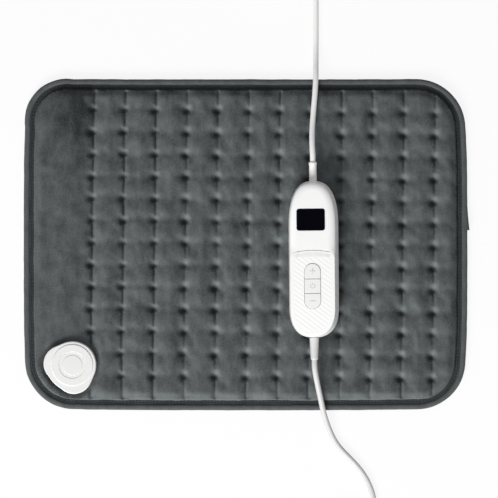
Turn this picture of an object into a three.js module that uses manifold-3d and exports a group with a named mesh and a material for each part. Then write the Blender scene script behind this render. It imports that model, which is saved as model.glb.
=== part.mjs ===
// Electric heating pad with a corded hand controller, in millimetres, +Z up.
// Origin: centre of the pad's underside. +X runs along the pad, +Y towards the mains lead.
import * as THREE from 'three';
import { mergeVertices } from 'three/addons/utils/BufferGeometryUtils.js';
import Module from 'manifold-3d';

const wasm = await Module();
wasm.setup();

// Clearances
const clearance = 0.3;
const keyClearance = 0.35;

// Pad
const padLength = 400;
const padWidth = 300;
const padCornerRadius = 44;
const padCornerSteps = 6;
const backThickness = 1.2;
const carrierThickness = 1.4;
const wireDiameter = 1.4;
const coverEdgeThickness = 1.2;
const tapeThickness = 1.0;
const tapeReach = 6.5;
const tapeRounding = 2.4;
const lapLength = 21;
const lapThickness = 1.4;
const lapCentreY = 23.2;

// Quilting: columns of tacks, heights above the cover's underside
const plainPanelWidth = 63.7;
const columnPitch = 28;
const columnMargin = 20;
const plainLines = 4;
const rowPitch = 20.26;
const firstRowInset = 30.2;
const rowMargin = 20;
const creasedColumns = 3;
const grooveInset = 9.5;
const edgeRise = 12;
const panelLoft = 4.3;
const tackLoft = 2.0;
const creaseLoft = 2.6;
const columnLoft = 3.6;
const rowLoft = 4.8;
const crownLoft = 6.1;

// Heating wire
const wireRunPitch = 30;
const wireBendSteps = 6;
const wireSideMargin = 40;
const wireTopMargin = 34;
const wireBottomMargin = 52;
const wireReturnMargin = 17;
const wireSides = 6;
const cutoutLength = 14;
const cutoutWidth = 6;

// Pad socket, with local +X out of its mouth
const socketInsetX = 43.7;
const socketInsetY = 40.6;
const socketTurn = THREE.MathUtils.degToRad(225);
const socketBackRadius = 21.4;
const socketCornerRadius = 16.5;
const socketFront = 22.3;
const socketFrontBow = 1;
const socketHalfWidth = 24.2;
const socketWall = 1.9;
const socketMouthWidth = 24;
const socketMouthHeight = 6;
const socketMouthDepth = 13.5;
const socketRounding = 1.6;
const socketBossRadius = 18.7;
const socketBossHeight = 0.9;
const socketRingOuter = 11.8;
const socketRingInner = 8.9;
const socketRingDepth = 0.8;
const socketBaseInset = 1.5;
const pegDiameter = 2.6;
const pegDepth = 4;
const pegBackReach = 12;
const pegSideReach = 15.5;
const pegSideOffset = 2;
const contactLength = 9;
const contactWidth = 3;
const contactThickness = 0.6;
const contactSpacing = 10;

// Controller, with local +Y towards the mains lead and +Z out of its face
const handsetX = 62.66;
const handsetY = -13.6;
const handsetRoll = THREE.MathUtils.degToRad(-6);
const handsetYaw = THREE.MathUtils.degToRad(0.5);
const handsetLength = 141;
const handsetWidth = 44.6;
const handsetThickness = 24;
const topTaper = 41.7;
const bottomTaper = 29;
const taperPower = 2.5;
const outlineSteps = 14;
const partingHeight = 10;
const shellWall = 2;
const faceWall = 2;
const wallDraft = THREE.MathUtils.degToRad(9);
const bellyInset = 9;
const bellyRound = 7;
const headRound = 7;
const headRoundHeight = 4.2;
const faceRound = 0.8;
const faceRoundHeight = 0.8;
const stepY = 6;
const stepRise = 2.2;
const stepBlend = 5;
const valleyDepth = 0.9;
const valleyLength = 4.4;
const valleyBorder = 2.2;
const windowWidth = 25.2;
const windowHeight = 19.4;
const windowCornerRadius = 2.2;
const windowThickness = 0.9;
const windowY = 35.6;
const windowX = -1.2;
const windowLedge = 1.6;
const keySlotWidth = 14.9;
const keySlotLength = 40.9;
const keySlotY = -24;
const plusKeyLength = 13.9;
const powerKeyLength = 12.9;
const keyFlangeWidth = 1;
const keyFlangeThickness = 1.5;
const keyProud = 0.6;
const keyTravel = 0.8;
const boardHeight = 13;
const boardThickness = 1.6;
const boardGap = 2.6;
const boardEndGap = 14.5;
const switchSize = 6;
const plungerDiameter = 3.4;
const plungerProud = 1.5;
const plungerGrip = 1.8;
const screwDiameter = 2.4;
const screwHeadDiameter = 4.6;
const screwHeadHeight = 1.8;
const screwHeadDepth = 3.2;
const screwReach = 4.5;
const bossWall = 1.5;
const screwInset = 7;
const upperScrewY = 22;
const lowerScrewY = -44;
const displayDepth = 6.4;
const displayBorder = 1.4;
const relaySize = new THREE.Vector3(15, 19, 7.5);
const relayY = 20;
const capacitorSize = new THREE.Vector3(18, 7, 7.5);
const capacitorY = -20;
const fuseDiameter = 5;
const fuseLength = 20;
const fuseY = 5.5;
const terminalSize = new THREE.Vector3(10, 8, 7);
const terminalY = 46;

// Leads and their strain reliefs
const leadDiameter = 5;
const leadSides = 10;
const leadStepLength = 12;
const reliefDiameter = 6.8;
const reliefFlangeDiameter = 9.6;
const reliefFlangeThickness = 2;
const reliefNeck = 4.5;
const mainsReliefLength = 17;
const mainsReliefLip = 0.35;
const reliefLipLength = 1.4;
const reliefTipLength = 2;
const padReliefLength = 20;
const padReliefRoot = 8.4;
const coilPitch = 5.5;
const coilSides = 6;
const coilSteps = 24;
const coilMidRadius = 30;
const mainsCoilTurns = 8.25;
const mainsCoilLayers = 4;
const padCoilTurns = 2.25;
const padCoilLayers = 2;
const mainsCoilEntryX = 64.2;
const mainsCoilY = 272;
const padCoilEntryX = 118.5;
const padCoilY = -277;
const mainsTailRun = 46;
const padTailRun = 24;
const tailSteps = 6;
const tieThickness = 0.8;
const tieWidth = 8;
const tieSlack = 0.6;

// Mains plug and pad plug
const mainsPlugLength = 35;
const mainsPlugWidth = 34;
const mainsPlugThickness = 13.6;
const mainsPlugNeck = 13;
const mainsPlugRounding = 2.5;
const pinDiameter = 4;
const pinLength = 19;
const pinSpacing = 19;
const plugReliefLength = 30;
const plugReliefRoot = 9.6;
const padPlugLength = 26;
const padPlugShoulder = 3;
const padPlugThickness = 11;
const padPlugRounding = 3;
const tongueLength = 12;
const tongueGap = 0.6;
const padPlugReliefLength = 22;
const padPlugReliefRoot = 8;

// Heights of the pad's layers
const carrierBottom = backThickness + clearance;
const carrierTop = carrierBottom + carrierThickness;
const wireHeight = carrierTop + clearance + wireDiameter / 2;
const coverBottom = carrierTop + wireDiameter + 2 * clearance;
const coverEdgeTop = coverBottom + coverEdgeThickness;
const bindingHeight = coverEdgeTop + clearance + tapeThickness;
const crownTop = coverBottom + crownLoft;
const layerInset = tapeThickness + clearance;

// Boolean helpers
function toSolid(geometry) {
  const bare = geometry.clone();
  bare.deleteAttribute('normal');
  bare.deleteAttribute('uv');
  const merged = mergeVertices(bare, 1e-4);
  const mesh = new wasm.Mesh({
    numProp: 3,
    vertProperties: new Float32Array(merged.attributes.position.array),
    triVerts: new Uint32Array(merged.index.array),
  });
  return new wasm.Manifold(mesh);
}

function toGeometry(solid) {
  const mesh = solid.getMesh();
  const geometry = new THREE.BufferGeometry();
  geometry.setAttribute('position', new THREE.BufferAttribute(mesh.vertProperties, 3));
  geometry.setIndex(new THREE.BufferAttribute(mesh.triVerts, 1));
  geometry.computeVertexNormals();
  return geometry;
}

function cut(geometry, ...tools) {
  return toGeometry(tools.reduce((solid, tool) => solid.subtract(toSolid(tool)), toSolid(geometry)));
}

function join(geometry, ...others) {
  return toGeometry(others.reduce((solid, other) => solid.add(toSolid(other)), toSolid(geometry)));
}

function common(geometry, other) {
  return toGeometry(toSolid(geometry).intersect(toSolid(other)));
}

// Shape helpers
function roundedRectangle(width, height, radius, centreX = 0, centreY = 0) {
  const right = centreX + width / 2 - radius;
  const left = centreX - width / 2 + radius;
  const top = centreY + height / 2 - radius;
  const bottom = centreY - height / 2 + radius;
  const shape = new THREE.Shape();
  shape.absarc(right, bottom, radius, -Math.PI / 2, 0);
  shape.absarc(right, top, radius, 0, Math.PI / 2);
  shape.absarc(left, top, radius, Math.PI / 2, Math.PI);
  shape.absarc(left, bottom, radius, Math.PI, Math.PI * 1.5);
  return shape;
}

function prism(shape, low, high, curveSegments = 6) {
  const settings = { depth: high - low, bevelEnabled: false, curveSegments };
  return new THREE.ExtrudeGeometry(shape, settings).translate(0, 0, low);
}

function roundedPrism(shape, low, high, rounding, curveSegments = 6) {
  const settings = {
    depth: high - low - 2 * rounding,
    bevelThickness: rounding,
    bevelSize: rounding,
    bevelOffset: -rounding,
    bevelSegments: 2,
    curveSegments,
  };
  return new THREE.ExtrudeGeometry(shape, settings).translate(0, 0, low + rounding);
}

function block(size, x, y, low) {
  return new THREE.BoxGeometry(size.x, size.y, size.z).translate(x, y, low + size.z / 2);
}

function post(diameter, low, high, x, y, sides = 10) {
  const cylinder = new THREE.CylinderGeometry(diameter / 2, diameter / 2, high - low, sides);
  return cylinder.rotateX(Math.PI / 2).translate(x, y, (low + high) / 2);
}

function turned(profile, sides = 12) {
  return new THREE.LatheGeometry(profile.map(([radius, along]) => new THREE.Vector2(radius, along)), sides);
}

// A path that steps exactly through its points
class SteppedPath extends THREE.Curve {
  constructor(points) {
    super();
    this.points = points;
  }

  getPoint(t) {
    const place = t * (this.points.length - 1);
    const index = Math.min(Math.floor(place), this.points.length - 2);
    return this.points[index].clone().lerp(this.points[index + 1], place - index);
  }

  getPointAt(t) {
    return this.getPoint(t);
  }

  getTangentAt(t) {
    const index = Math.round(t * (this.points.length - 1));
    const before = this.points[Math.max(index - 1, 0)];
    const after = this.points[Math.min(index + 1, this.points.length - 1)];
    return after.clone().sub(before).normalize();
  }
}

function steppedTube(points, diameter, sides) {
  const section = [];
  for (let i = 0; i < sides; i++) {
    const angle = (2 * Math.PI * i) / sides;
    section.push(new THREE.Vector2(Math.cos(angle), Math.sin(angle)).multiplyScalar(diameter / 2));
  }
  const settings = { steps: points.length - 1, extrudePath: new SteppedPath(points) };
  return new THREE.ExtrudeGeometry(new THREE.Shape(section), settings);
}

function smoothTube(points, diameter, sides, stepLength) {
  const curve = new THREE.CatmullRomCurve3(points, false, 'centripetal');
  const steps = Math.max(2, Math.round(curve.getLength() / stepLength));
  return steppedTube(curve.getSpacedPoints(steps), diameter, sides);
}

function finish(color, roughness, metalness = 0) {
  return new THREE.MeshStandardMaterial({ color, roughness, metalness });
}

const materials = {
  plush: () => finish(0x54575a, 0.95),
  tape: () => finish(0x46494c, 0.9),
  felt: () => finish(0xb9b4a8, 0.95),
  wire: () => finish(0xa33a2c, 0.5),
  whitePlastic: () => finish(0xeceded, 0.4),
  whiteRubber: () => finish(0xe6e7e7, 0.55),
  blackGlass: () => finish(0x07070b, 0.12),
  board: () => finish(0x2d6a3c, 0.55),
  darkPlastic: () => finish(0x24262a, 0.5),
  steel: () => finish(0xb8bbbe, 0.35, 1),
  brass: () => finish(0xc39b4e, 0.35, 1),
};

const heatingPad = new THREE.Group();

function addPiece(parent, name, geometry, material) {
  const mesh = new THREE.Mesh(geometry, material);
  mesh.name = name;
  parent.add(mesh);
  return mesh;
}

// Pad layers
function padOutline(inset) {
  return roundedRectangle(padLength - 2 * inset, padWidth - 2 * inset, padCornerRadius - inset);
}

function padLayer(inset, low, high) {
  return prism(padOutline(inset), low, high, padCornerSteps);
}

function buildBinding() {
  const tape = roundedPrism(padOutline(0), 0, bindingHeight, tapeRounding, padCornerSteps);
  const window = padLayer(tapeReach, -clearance, bindingHeight + clearance);
  const throat = padLayer(tapeThickness, tapeThickness, bindingHeight - tapeThickness);
  return cut(tape, window, throat);
}

function buildBindingLap() {
  const inner = padLength / 2 - tapeReach;
  const side = padLength / 2 + clearance;
  const outer = side + lapThickness;
  const under = bindingHeight + clearance;
  const top = under + lapThickness;
  const shape = new THREE.Shape();
  shape.moveTo(side, 0);
  shape.lineTo(outer, 0);
  shape.absarc(outer - tapeRounding, top - tapeRounding, tapeRounding, 0, Math.PI / 2);
  shape.lineTo(inner, top);
  shape.lineTo(inner, under);
  shape.lineTo(side - tapeRounding + lapThickness, under);
  shape.lineTo(side, under - tapeRounding + lapThickness);
  const lap = new THREE.ExtrudeGeometry(shape, { depth: lapLength, bevelEnabled: false, curveSegments: 3 });
  return lap.rotateX(Math.PI / 2).translate(0, lapCentreY + lapLength / 2, 0);
}

// Depth of a point inside the stitched groove that runs round the pad
function depthInsideGroove(x, y) {
  const radius = padCornerRadius - grooveInset;
  const overX = Math.abs(x) - (padLength / 2 - padCornerRadius);
  const overY = Math.abs(y) - (padWidth / 2 - padCornerRadius);
  const outside = Math.hypot(Math.max(overX, 0), Math.max(overY, 0));
  return radius - outside - Math.min(Math.max(overX, overY), 0);
}

// Grid lines across the cover: each has its place, and whether it is a line of tacks
function quiltColumns() {
  const edge = padLength / 2;
  const groove = padLength / 2 - grooveInset;
  const first = plainPanelWidth - padLength / 2;
  const count = Math.floor((padLength - plainPanelWidth - columnMargin) / columnPitch) + 1;
  const lines = [{ at: -edge, plain: true }];
  for (let i = 0; i < plainLines; i++) {
    lines.push({ at: THREE.MathUtils.lerp(-groove, first, i / plainLines), plain: true });
  }
  for (let i = 0; i < count; i++) {
    lines.push({ at: first + i * columnPitch, tacked: true, creased: i < creasedColumns });
    if (i < count - 1) {
      lines.push({ at: first + (i + 0.5) * columnPitch });
    }
  }
  const last = first + (count - 1) * columnPitch;
  lines.push({ at: (last + groove) / 2 }, { at: groove }, { at: edge });
  return lines;
}

function quiltRows() {
  const edge = padWidth / 2;
  const groove = padWidth / 2 - grooveInset;
  const first = padWidth / 2 - firstRowInset;
  const count = Math.floor((padWidth - firstRowInset - rowMargin) / rowPitch) + 1;
  const lines = [{ at: edge }, { at: groove }, { at: (groove + first) / 2 }];
  for (let i = 0; i < count; i++) {
    lines.push({ at: first - i * rowPitch, tacked: true });
    if (i < count - 1) {
      lines.push({ at: first - (i + 0.5) * rowPitch });
    }
  }
  const last = first - (count - 1) * rowPitch;
  lines.push({ at: (last - groove) / 2 }, { at: -groove }, { at: -edge });
  return lines.reverse();
}

function quiltLoft(column, row) {
  if (column.plain) {
    return panelLoft;
  }
  if (column.tacked && row.tacked) {
    return tackLoft;
  }
  if (column.tacked) {
    return column.creased ? creaseLoft : columnLoft;
  }
  return row.tacked ? rowLoft : crownLoft;
}

function quiltHeight(column, row) {
  const rise = THREE.MathUtils.smoothstep(depthInsideGroove(column.at, row.at), 0, edgeRise);
  return coverBottom + THREE.MathUtils.lerp(coverEdgeThickness, quiltLoft(column, row), rise);
}

// The quilted top over a plain base, larger all round than the cover that is trimmed from it
function buildQuilt() {
  const columns = quiltColumns();
  const rows = quiltRows();
  const positions = [];
  for (const row of rows) {
    for (const column of columns) {
      positions.push(column.at, row.at, quiltHeight(column, row));
    }
  }
  const wide = columns.length;
  const high = rows.length;
  const at = (i, j) => j * wide + i;
  const faces = [];
  for (let j = 0; j < high - 1; j++) {
    for (let i = 0; i < wide - 1; i++) {
      if ((i + j) % 2 === 0) {
        faces.push(at(i, j), at(i + 1, j), at(i + 1, j + 1), at(i, j), at(i + 1, j + 1), at(i, j + 1));
      } else {
        faces.push(at(i, j), at(i + 1, j), at(i, j + 1), at(i + 1, j), at(i + 1, j + 1), at(i, j + 1));
      }
    }
  }
  const rim = [];
  for (let i = 0; i < wide - 1; i++) {
    rim.push(at(i, 0));
  }
  for (let j = 0; j < high - 1; j++) {
    rim.push(at(wide - 1, j));
  }
  for (let i = wide - 1; i > 0; i--) {
    rim.push(at(i, high - 1));
  }
  for (let j = high - 1; j > 0; j--) {
    rim.push(at(0, j));
  }
  const base = positions.length / 3;
  for (const index of rim) {
    positions.push(positions[3 * index], positions[3 * index + 1], 0);
  }
  const middle = positions.length / 3;
  positions.push(0, 0, 0);
  for (let k = 0; k < rim.length; k++) {
    const next = (k + 1) % rim.length;
    faces.push(base + k, base + next, rim[next], base + k, rim[next], rim[k]);
    faces.push(middle, base + next, base + k);
  }
  const geometry = new THREE.BufferGeometry();
  geometry.setAttribute('position', new THREE.Float32BufferAttribute(positions, 3));
  geometry.setIndex(faces);
  return geometry;
}

// Pad socket
const socketPlace = new THREE.Matrix4().makeRotationZ(socketTurn);
socketPlace.setPosition(socketInsetX - padLength / 2, socketInsetY - padWidth / 2, 0);
const socketBottom = coverEdgeTop + clearance;
const socketFloor = socketBottom + socketWall;
const socketTop = socketFloor + socketMouthHeight + socketWall;
const mouthBack = socketFront + socketFrontBow / 2 - socketMouthDepth;
const pegPlaces = [
  [-pegBackReach, 0],
  [pegSideOffset, pegSideReach],
  [pegSideOffset, -pegSideReach],
];

function socketOutline(inset) {
  const back = socketBackRadius - inset;
  const corner = socketCornerRadius - inset;
  const centreX = socketFront - socketCornerRadius;
  const centreY = socketHalfWidth - socketCornerRadius;
  const reach = Math.hypot(centreX, centreY);
  const side = Math.atan2(centreY, centreX) + Math.acos((back - corner) / reach);
  const shape = new THREE.Shape();
  shape.absarc(0, 0, back, side, 2 * Math.PI - side);
  shape.absarc(centreX, -centreY, corner, -side, 0);
  shape.quadraticCurveTo(centreX + corner + 2 * socketFrontBow, 0, centreX + corner, centreY);
  shape.absarc(centreX, centreY, corner, 0, side);
  return shape;
}

function buildSocketTop() {
  const body = roundedPrism(socketOutline(0), socketBottom, socketTop, socketRounding, 8);
  const bossTop = socketTop + socketBossHeight;
  const boss = post(2 * socketBossRadius, socketTop - socketWall / 2, bossTop, 0, 0, 32);
  const groove = new THREE.Shape();
  groove.absarc(0, 0, socketRingOuter, 0, 2 * Math.PI);
  const island = new THREE.Path();
  island.absarc(0, 0, socketRingInner, 0, 2 * Math.PI);
  groove.holes.push(island);
  const ringCut = prism(groove, bossTop - socketRingDepth, bossTop + clearance, 12);
  const mouthSize = new THREE.Vector3(2 * socketMouthDepth, socketMouthWidth, socketMouthHeight);
  const mouth = block(mouthSize, mouthBack + socketMouthDepth, 0, socketFloor);
  const pegHoles = pegPlaces.map(([x, y]) =>
    post(pegDiameter + 2 * clearance, socketBottom - clearance, socketBottom + pegDepth, x, y));
  return cut(join(body, boss), ringCut, mouth, ...pegHoles);
}

function buildSocketBase() {
  const low = carrierTop + clearance;
  const plate = prism(socketOutline(socketBaseInset), low, low + wireDiameter, 8);
  const pegs = pegPlaces.map(([x, y]) =>
    post(pegDiameter, low + wireDiameter / 2, socketBottom + pegDepth - clearance, x, y));
  return join(plate, ...pegs);
}

function buildCover() {
  const rounded = common(buildQuilt(), padLayer(layerInset, coverBottom, crownTop + clearance));
  const rim = padOutline(0);
  rim.holes.push(padOutline(tapeReach + clearance));
  const underLip = prism(rim, coverEdgeTop, crownTop + clearance, padCornerSteps);
  const seat = prism(socketOutline(-2 * clearance), coverEdgeTop, crownTop + clearance, 6);
  const pegHoles = pegPlaces.map(([x, y]) =>
    post(pegDiameter + 2 * clearance, coverBottom - clearance, coverEdgeTop + clearance, x, y));
  const socketCuts = [seat, ...pegHoles].map((tool) => tool.applyMatrix4(socketPlace));
  return cut(rounded, underLip, ...socketCuts);
}

addPiece(heatingPad, 'back_cover', padLayer(tapeReach + clearance, 0, backThickness), materials.plush());
addPiece(heatingPad, 'heater_carrier', padLayer(layerInset, carrierBottom, carrierTop), materials.felt());
addPiece(heatingPad, 'front_cover', buildCover(), materials.plush());
addPiece(heatingPad, 'edge_binding', buildBinding(), materials.tape());
addPiece(heatingPad, 'binding_lap', buildBindingLap(), materials.tape());

const socketPieces = {
  socket_top: [buildSocketTop(), materials.whitePlastic()],
  socket_base: [buildSocketBase(), materials.whitePlastic()],
};
for (const [name, side] of [['socket_contact_a', 1], ['socket_contact_b', -1]]) {
  const leafSize = new THREE.Vector3(contactLength, contactWidth, contactThickness);
  const leafX = mouthBack + clearance + contactLength / 2;
  const leaf = block(leafSize, leafX, (side * contactSpacing) / 2, socketFloor + clearance);
  socketPieces[name] = [leaf, materials.brass()];
}
for (const [name, [geometry, material]] of Object.entries(socketPieces)) {
  addPiece(heatingPad, name, geometry.applyMatrix4(socketPlace), material);
}

// Heating wire: an even number of runs, then a return along the lower edge to the cut-out
const wireFirstX = plainPanelWidth - padLength / 2 + columnPitch / 2;
const wireSpan = padLength / 2 - wireSideMargin - wireFirstX;
const wireRuns = 2 * Math.floor((wireSpan / wireRunPitch + 1) / 2);
const wireTopY = padWidth / 2 - wireTopMargin;
const wireBottomY = wireBottomMargin - padWidth / 2;
const wireReturnY = wireReturnMargin - padWidth / 2;

function wirePoints() {
  const bend = wireRunPitch / 2;
  const points = [new THREE.Vector3(wireFirstX, wireBottomY, wireHeight)];
  for (let run = 0; run < wireRuns - 1; run++) {
    const up = run % 2 === 0;
    const centreX = wireFirstX + (run + 0.5) * wireRunPitch;
    const centreY = up ? wireTopY : wireBottomY;
    for (let i = 0; i <= wireBendSteps; i++) {
      const angle = Math.PI - (Math.PI * i) / wireBendSteps;
      const lift = bend * Math.sin(angle) * (up ? 1 : -1);
      points.push(new THREE.Vector3(centreX + bend * Math.cos(angle), centreY + lift, wireHeight));
    }
  }
  const lastX = wireFirstX + (wireRuns - 1) * wireRunPitch;
  for (let i = 0; i <= wireBendSteps / 2; i++) {
    const angle = -(Math.PI * i) / wireBendSteps;
    const x = lastX - bend + bend * Math.cos(angle);
    points.push(new THREE.Vector3(x, wireReturnY + bend + bend * Math.sin(angle), wireHeight));
  }
  points.push(new THREE.Vector3(wireFirstX + cutoutLength, wireReturnY, wireHeight));
  return points;
}

const socketEdge = socketBackRadius - socketBaseInset + clearance;
const leadStartA = new THREE.Vector3(socketEdge, 0, wireHeight);
leadStartA.x += socketInsetX - padLength / 2;
leadStartA.y += socketInsetY - padWidth / 2;
const leadEndA = new THREE.Vector3(wireFirstX, wireBottomY - clearance, wireHeight);
const leadTurnA = new THREE.Vector3(leadEndA.x, leadStartA.y, wireHeight);
const cutoutX = wireFirstX + cutoutLength / 2 - clearance;
const leadStartB = new THREE.Vector3(cutoutX - cutoutLength / 2 - clearance, wireReturnY, wireHeight);
const leadEndB = leadStartA.clone().add(new THREE.Vector3(0, -2 * cutoutWidth, 0));
const leadTurnB = new THREE.Vector3(leadEndB.x, wireReturnY, wireHeight);

function bentLead(start, turn, end) {
  const bend = new THREE.QuadraticBezierCurve3(start, turn, end);
  return steppedTube(bend.getPoints(wireBendSteps), wireDiameter, wireSides);
}

const cutoutSize = new THREE.Vector3(cutoutLength - clearance, cutoutWidth, wireDiameter);
addPiece(heatingPad, 'heating_wire', steppedTube(wirePoints(), wireDiameter, wireSides), materials.wire());
addPiece(heatingPad, 'cold_lead_a', bentLead(leadStartA, leadTurnA, leadEndA), materials.whiteRubber());
addPiece(heatingPad, 'cold_lead_b', bentLead(leadStartB, leadTurnB, leadEndB), materials.whiteRubber());
const cutoutBox = block(cutoutSize, cutoutX, wireReturnY, carrierTop + clearance);
addPiece(heatingPad, 'thermal_cutout', cutoutBox, materials.darkPlastic());

// Controller: its own frame has the belly at z = 0 and the face at handsetThickness
const handset = new THREE.Group();
const bellyHalfWidth = handsetWidth / 2 - bellyInset;
const bellyDrop = bellyHalfWidth * Math.sin(Math.abs(handsetRoll));
handset.position.set(handsetX, handsetY, crownTop + clearance + bellyDrop);
handset.rotation.set(0, handsetRoll, handsetYaw, 'ZYX');
heatingPad.add(handset);

const faceInner = handsetThickness - faceWall;
const frontBottom = partingHeight + clearance;
const boardTop = boardHeight + boardThickness;
const draftInset = (height) => (height - partingHeight) * Math.tan(wallDraft);
const faceInset = draftInset(handsetThickness - faceRoundHeight) + faceRound;

function taperPoint(angle, half, length, startY) {
  const power = 2 / taperPower;
  const across = Math.sign(Math.cos(angle)) * Math.abs(Math.cos(angle)) ** power;
  const along = Math.sign(Math.sin(angle)) * Math.abs(Math.sin(angle)) ** power;
  return new THREE.Vector2(half * across, startY + length * along);
}

// The straight sides have points where the round head turns into the key panel's sharper edge
const sideSteps = [-1, -0.5, 0, 0.5, 1];

function handsetOutline(inset) {
  const half = handsetWidth / 2 - inset;
  const points = [];
  for (let i = 0; i <= outlineSteps; i++) {
    const angle = (Math.PI * i) / outlineSteps;
    points.push(taperPoint(angle, half, topTaper - inset, handsetLength / 2 - topTaper));
  }
  for (const step of sideSteps) {
    points.push(new THREE.Vector2(-half, stepY - step * stepBlend));
  }
  for (let i = 0; i <= outlineSteps; i++) {
    const angle = Math.PI + (Math.PI * i) / outlineSteps;
    points.push(taperPoint(angle, half, bottomTaper - inset, bottomTaper - handsetLength / 2));
  }
  for (const step of sideSteps) {
    points.push(new THREE.Vector2(half, stepY + step * stepBlend));
  }
  return points;
}

// A closed body through rings of points that follow the controller's outline
function ringBody(rings) {
  const count = rings[0].length;
  const faces = [];
  for (let level = 0; level < rings.length - 1; level++) {
    for (let i = 0; i < count; i++) {
      const low = level * count + i;
      const lowNext = level * count + ((i + 1) % count);
      faces.push(low, lowNext, lowNext + count, low, lowNext + count, low + count);
    }
  }
  const top = (rings.length - 1) * count;
  const cap = THREE.ShapeUtils.triangulateShape(handsetOutline(0), []);
  for (const [a, b, c] of cap) {
    faces.push(c, b, a, top + a, top + b, top + c);
  }
  const geometry = new THREE.BufferGeometry();
  geometry.setAttribute('position', new THREE.Float32BufferAttribute(rings.flat(2), 3));
  geometry.setIndex(faces);
  return geometry;
}

// A closed body through the controller's outline at several heights and insets
function loft(levels) {
  return ringBody(levels.map(([height, inset]) => handsetOutline(inset).map((p) => [p.x, p.y, height])));
}

// Belly section: a quarter round from its flat underside up to the parting line
const bellyLevels = [0, 1, 2, 3].map((i) => {
  const angle = (Math.PI / 2) * (i / 3);
  return [bellyRound * (1 - Math.cos(angle)), bellyInset * (1 - Math.sin(angle))];
});
const screwPlaces = [
  ['casing_screw_1', 1, upperScrewY],
  ['casing_screw_2', -1, upperScrewY],
  ['casing_screw_3', 1, lowerScrewY],
  ['casing_screw_4', -1, lowerScrewY],
].map(([name, side, y]) => [name, side * (handsetWidth / 2 - screwInset), y]);
const screwTop = boardTop + clearance + screwReach;
const screwHole = screwDiameter + 2 * clearance;
const bossDiameter = screwHole + 2 * bossWall;
const reliefHeight = partingHeight + clearance / 2;

function reliefHole() {
  const length = handsetLength + 2 * reliefNeck;
  const radius = reliefDiameter / 2 + clearance;
  return new THREE.CylinderGeometry(radius, radius, length, 12).translate(0, 0, reliefHeight);
}

function buildRearShell() {
  const outer = loft([...bellyLevels, [partingHeight, 0]]);
  const innerLevels = bellyLevels.map(([height, inset]) => [height + shellWall, inset + shellWall]);
  const inner = loft([...innerLevels, [partingHeight + bellyRound + shellWall, shellWall]]);
  const bossTop = boardHeight - clearance;
  const bosses = screwPlaces.map(([, x, y]) =>
    common(post(bossDiameter, 0, bossTop, x, y), loft([...bellyLevels, [handsetThickness, 0]])));
  const shankHoles = screwPlaces.map(([, x, y]) => post(screwHole, -clearance, bossTop + clearance, x, y));
  const headHoles = screwPlaces.map(([, x, y]) =>
    post(screwHeadDiameter + 2 * clearance, -clearance, screwHeadDepth + screwHeadHeight, x, y));
  return cut(join(cut(outer, inner, reliefHole()), ...bosses), ...shankHoles, ...headHoles);
}

function windowOutline(growth) {
  const radius = windowCornerRadius + growth;
  return roundedRectangle(windowWidth + 2 * growth, windowHeight + 2 * growth, radius, windowX, windowY);
}

// A stretch of the keys' slot, from low to high along y, with a round end where it is an end of the slot
function slotShape(growth, low, high, roundLow, roundHigh) {
  const radius = keySlotWidth / 2 + growth;
  const shape = new THREE.Shape();
  if (roundHigh) {
    shape.absarc(0, high - radius, radius, 0, Math.PI);
  } else {
    shape.moveTo(radius, high);
    shape.lineTo(-radius, high);
  }
  if (roundLow) {
    shape.absarc(0, low + radius, radius, Math.PI, 2 * Math.PI);
  } else {
    shape.lineTo(-radius, low);
    shape.lineTo(radius, low);
  }
  return shape;
}

const slotTop = keySlotY + keySlotLength / 2;
const slotBottom = keySlotY - keySlotLength / 2;

// One ring of the front shell's outside, rounder on the head than along the key panel
function faceRing(angle) {
  return handsetOutline(0).map((place, i) => {
    const share = THREE.MathUtils.smoothstep(place.y, stepY - stepBlend, stepY + stepBlend);
    const round = THREE.MathUtils.lerp(faceRound, headRound, share);
    const roundHeight = THREE.MathUtils.lerp(faceRoundHeight, headRoundHeight, share);
    const shoulder = handsetThickness - roundHeight;
    const point = handsetOutline(draftInset(shoulder) + round * (1 - Math.cos(angle)))[i];
    return [point.x, point.y, shoulder + roundHeight * Math.sin(angle)];
  });
}

// A shallow valley across the face, steep under the head's curved edge and rising to the key panel
function buildValley() {
  const half = handsetWidth / 2 - faceInset - valleyBorder;
  const section = new THREE.Shape();
  section.moveTo(0, -valleyDepth);
  section.lineTo(0, clearance);
  section.lineTo((-valleyLength * (valleyDepth + clearance)) / valleyDepth, clearance);
  const valley = new THREE.ExtrudeGeometry(section, { depth: 2 * half, steps: 8, bevelEnabled: false });
  const toX = new THREE.Vector3(1, 0, 0);
  const toY = new THREE.Vector3(0, 1, 0);
  const toZ = new THREE.Vector3(0, 0, 1);
  valley.applyMatrix4(new THREE.Matrix4().makeBasis(toY, toZ, toX));
  valley.translate(-half, stepY, handsetThickness);
  const places = valley.getAttribute('position');
  for (let i = 0; i < places.count; i++) {
    const bow = stepRise * (1 - (places.getX(i) / half) ** 2);
    places.setY(i, places.getY(i) + bow);
  }
  return valley;
}

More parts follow.
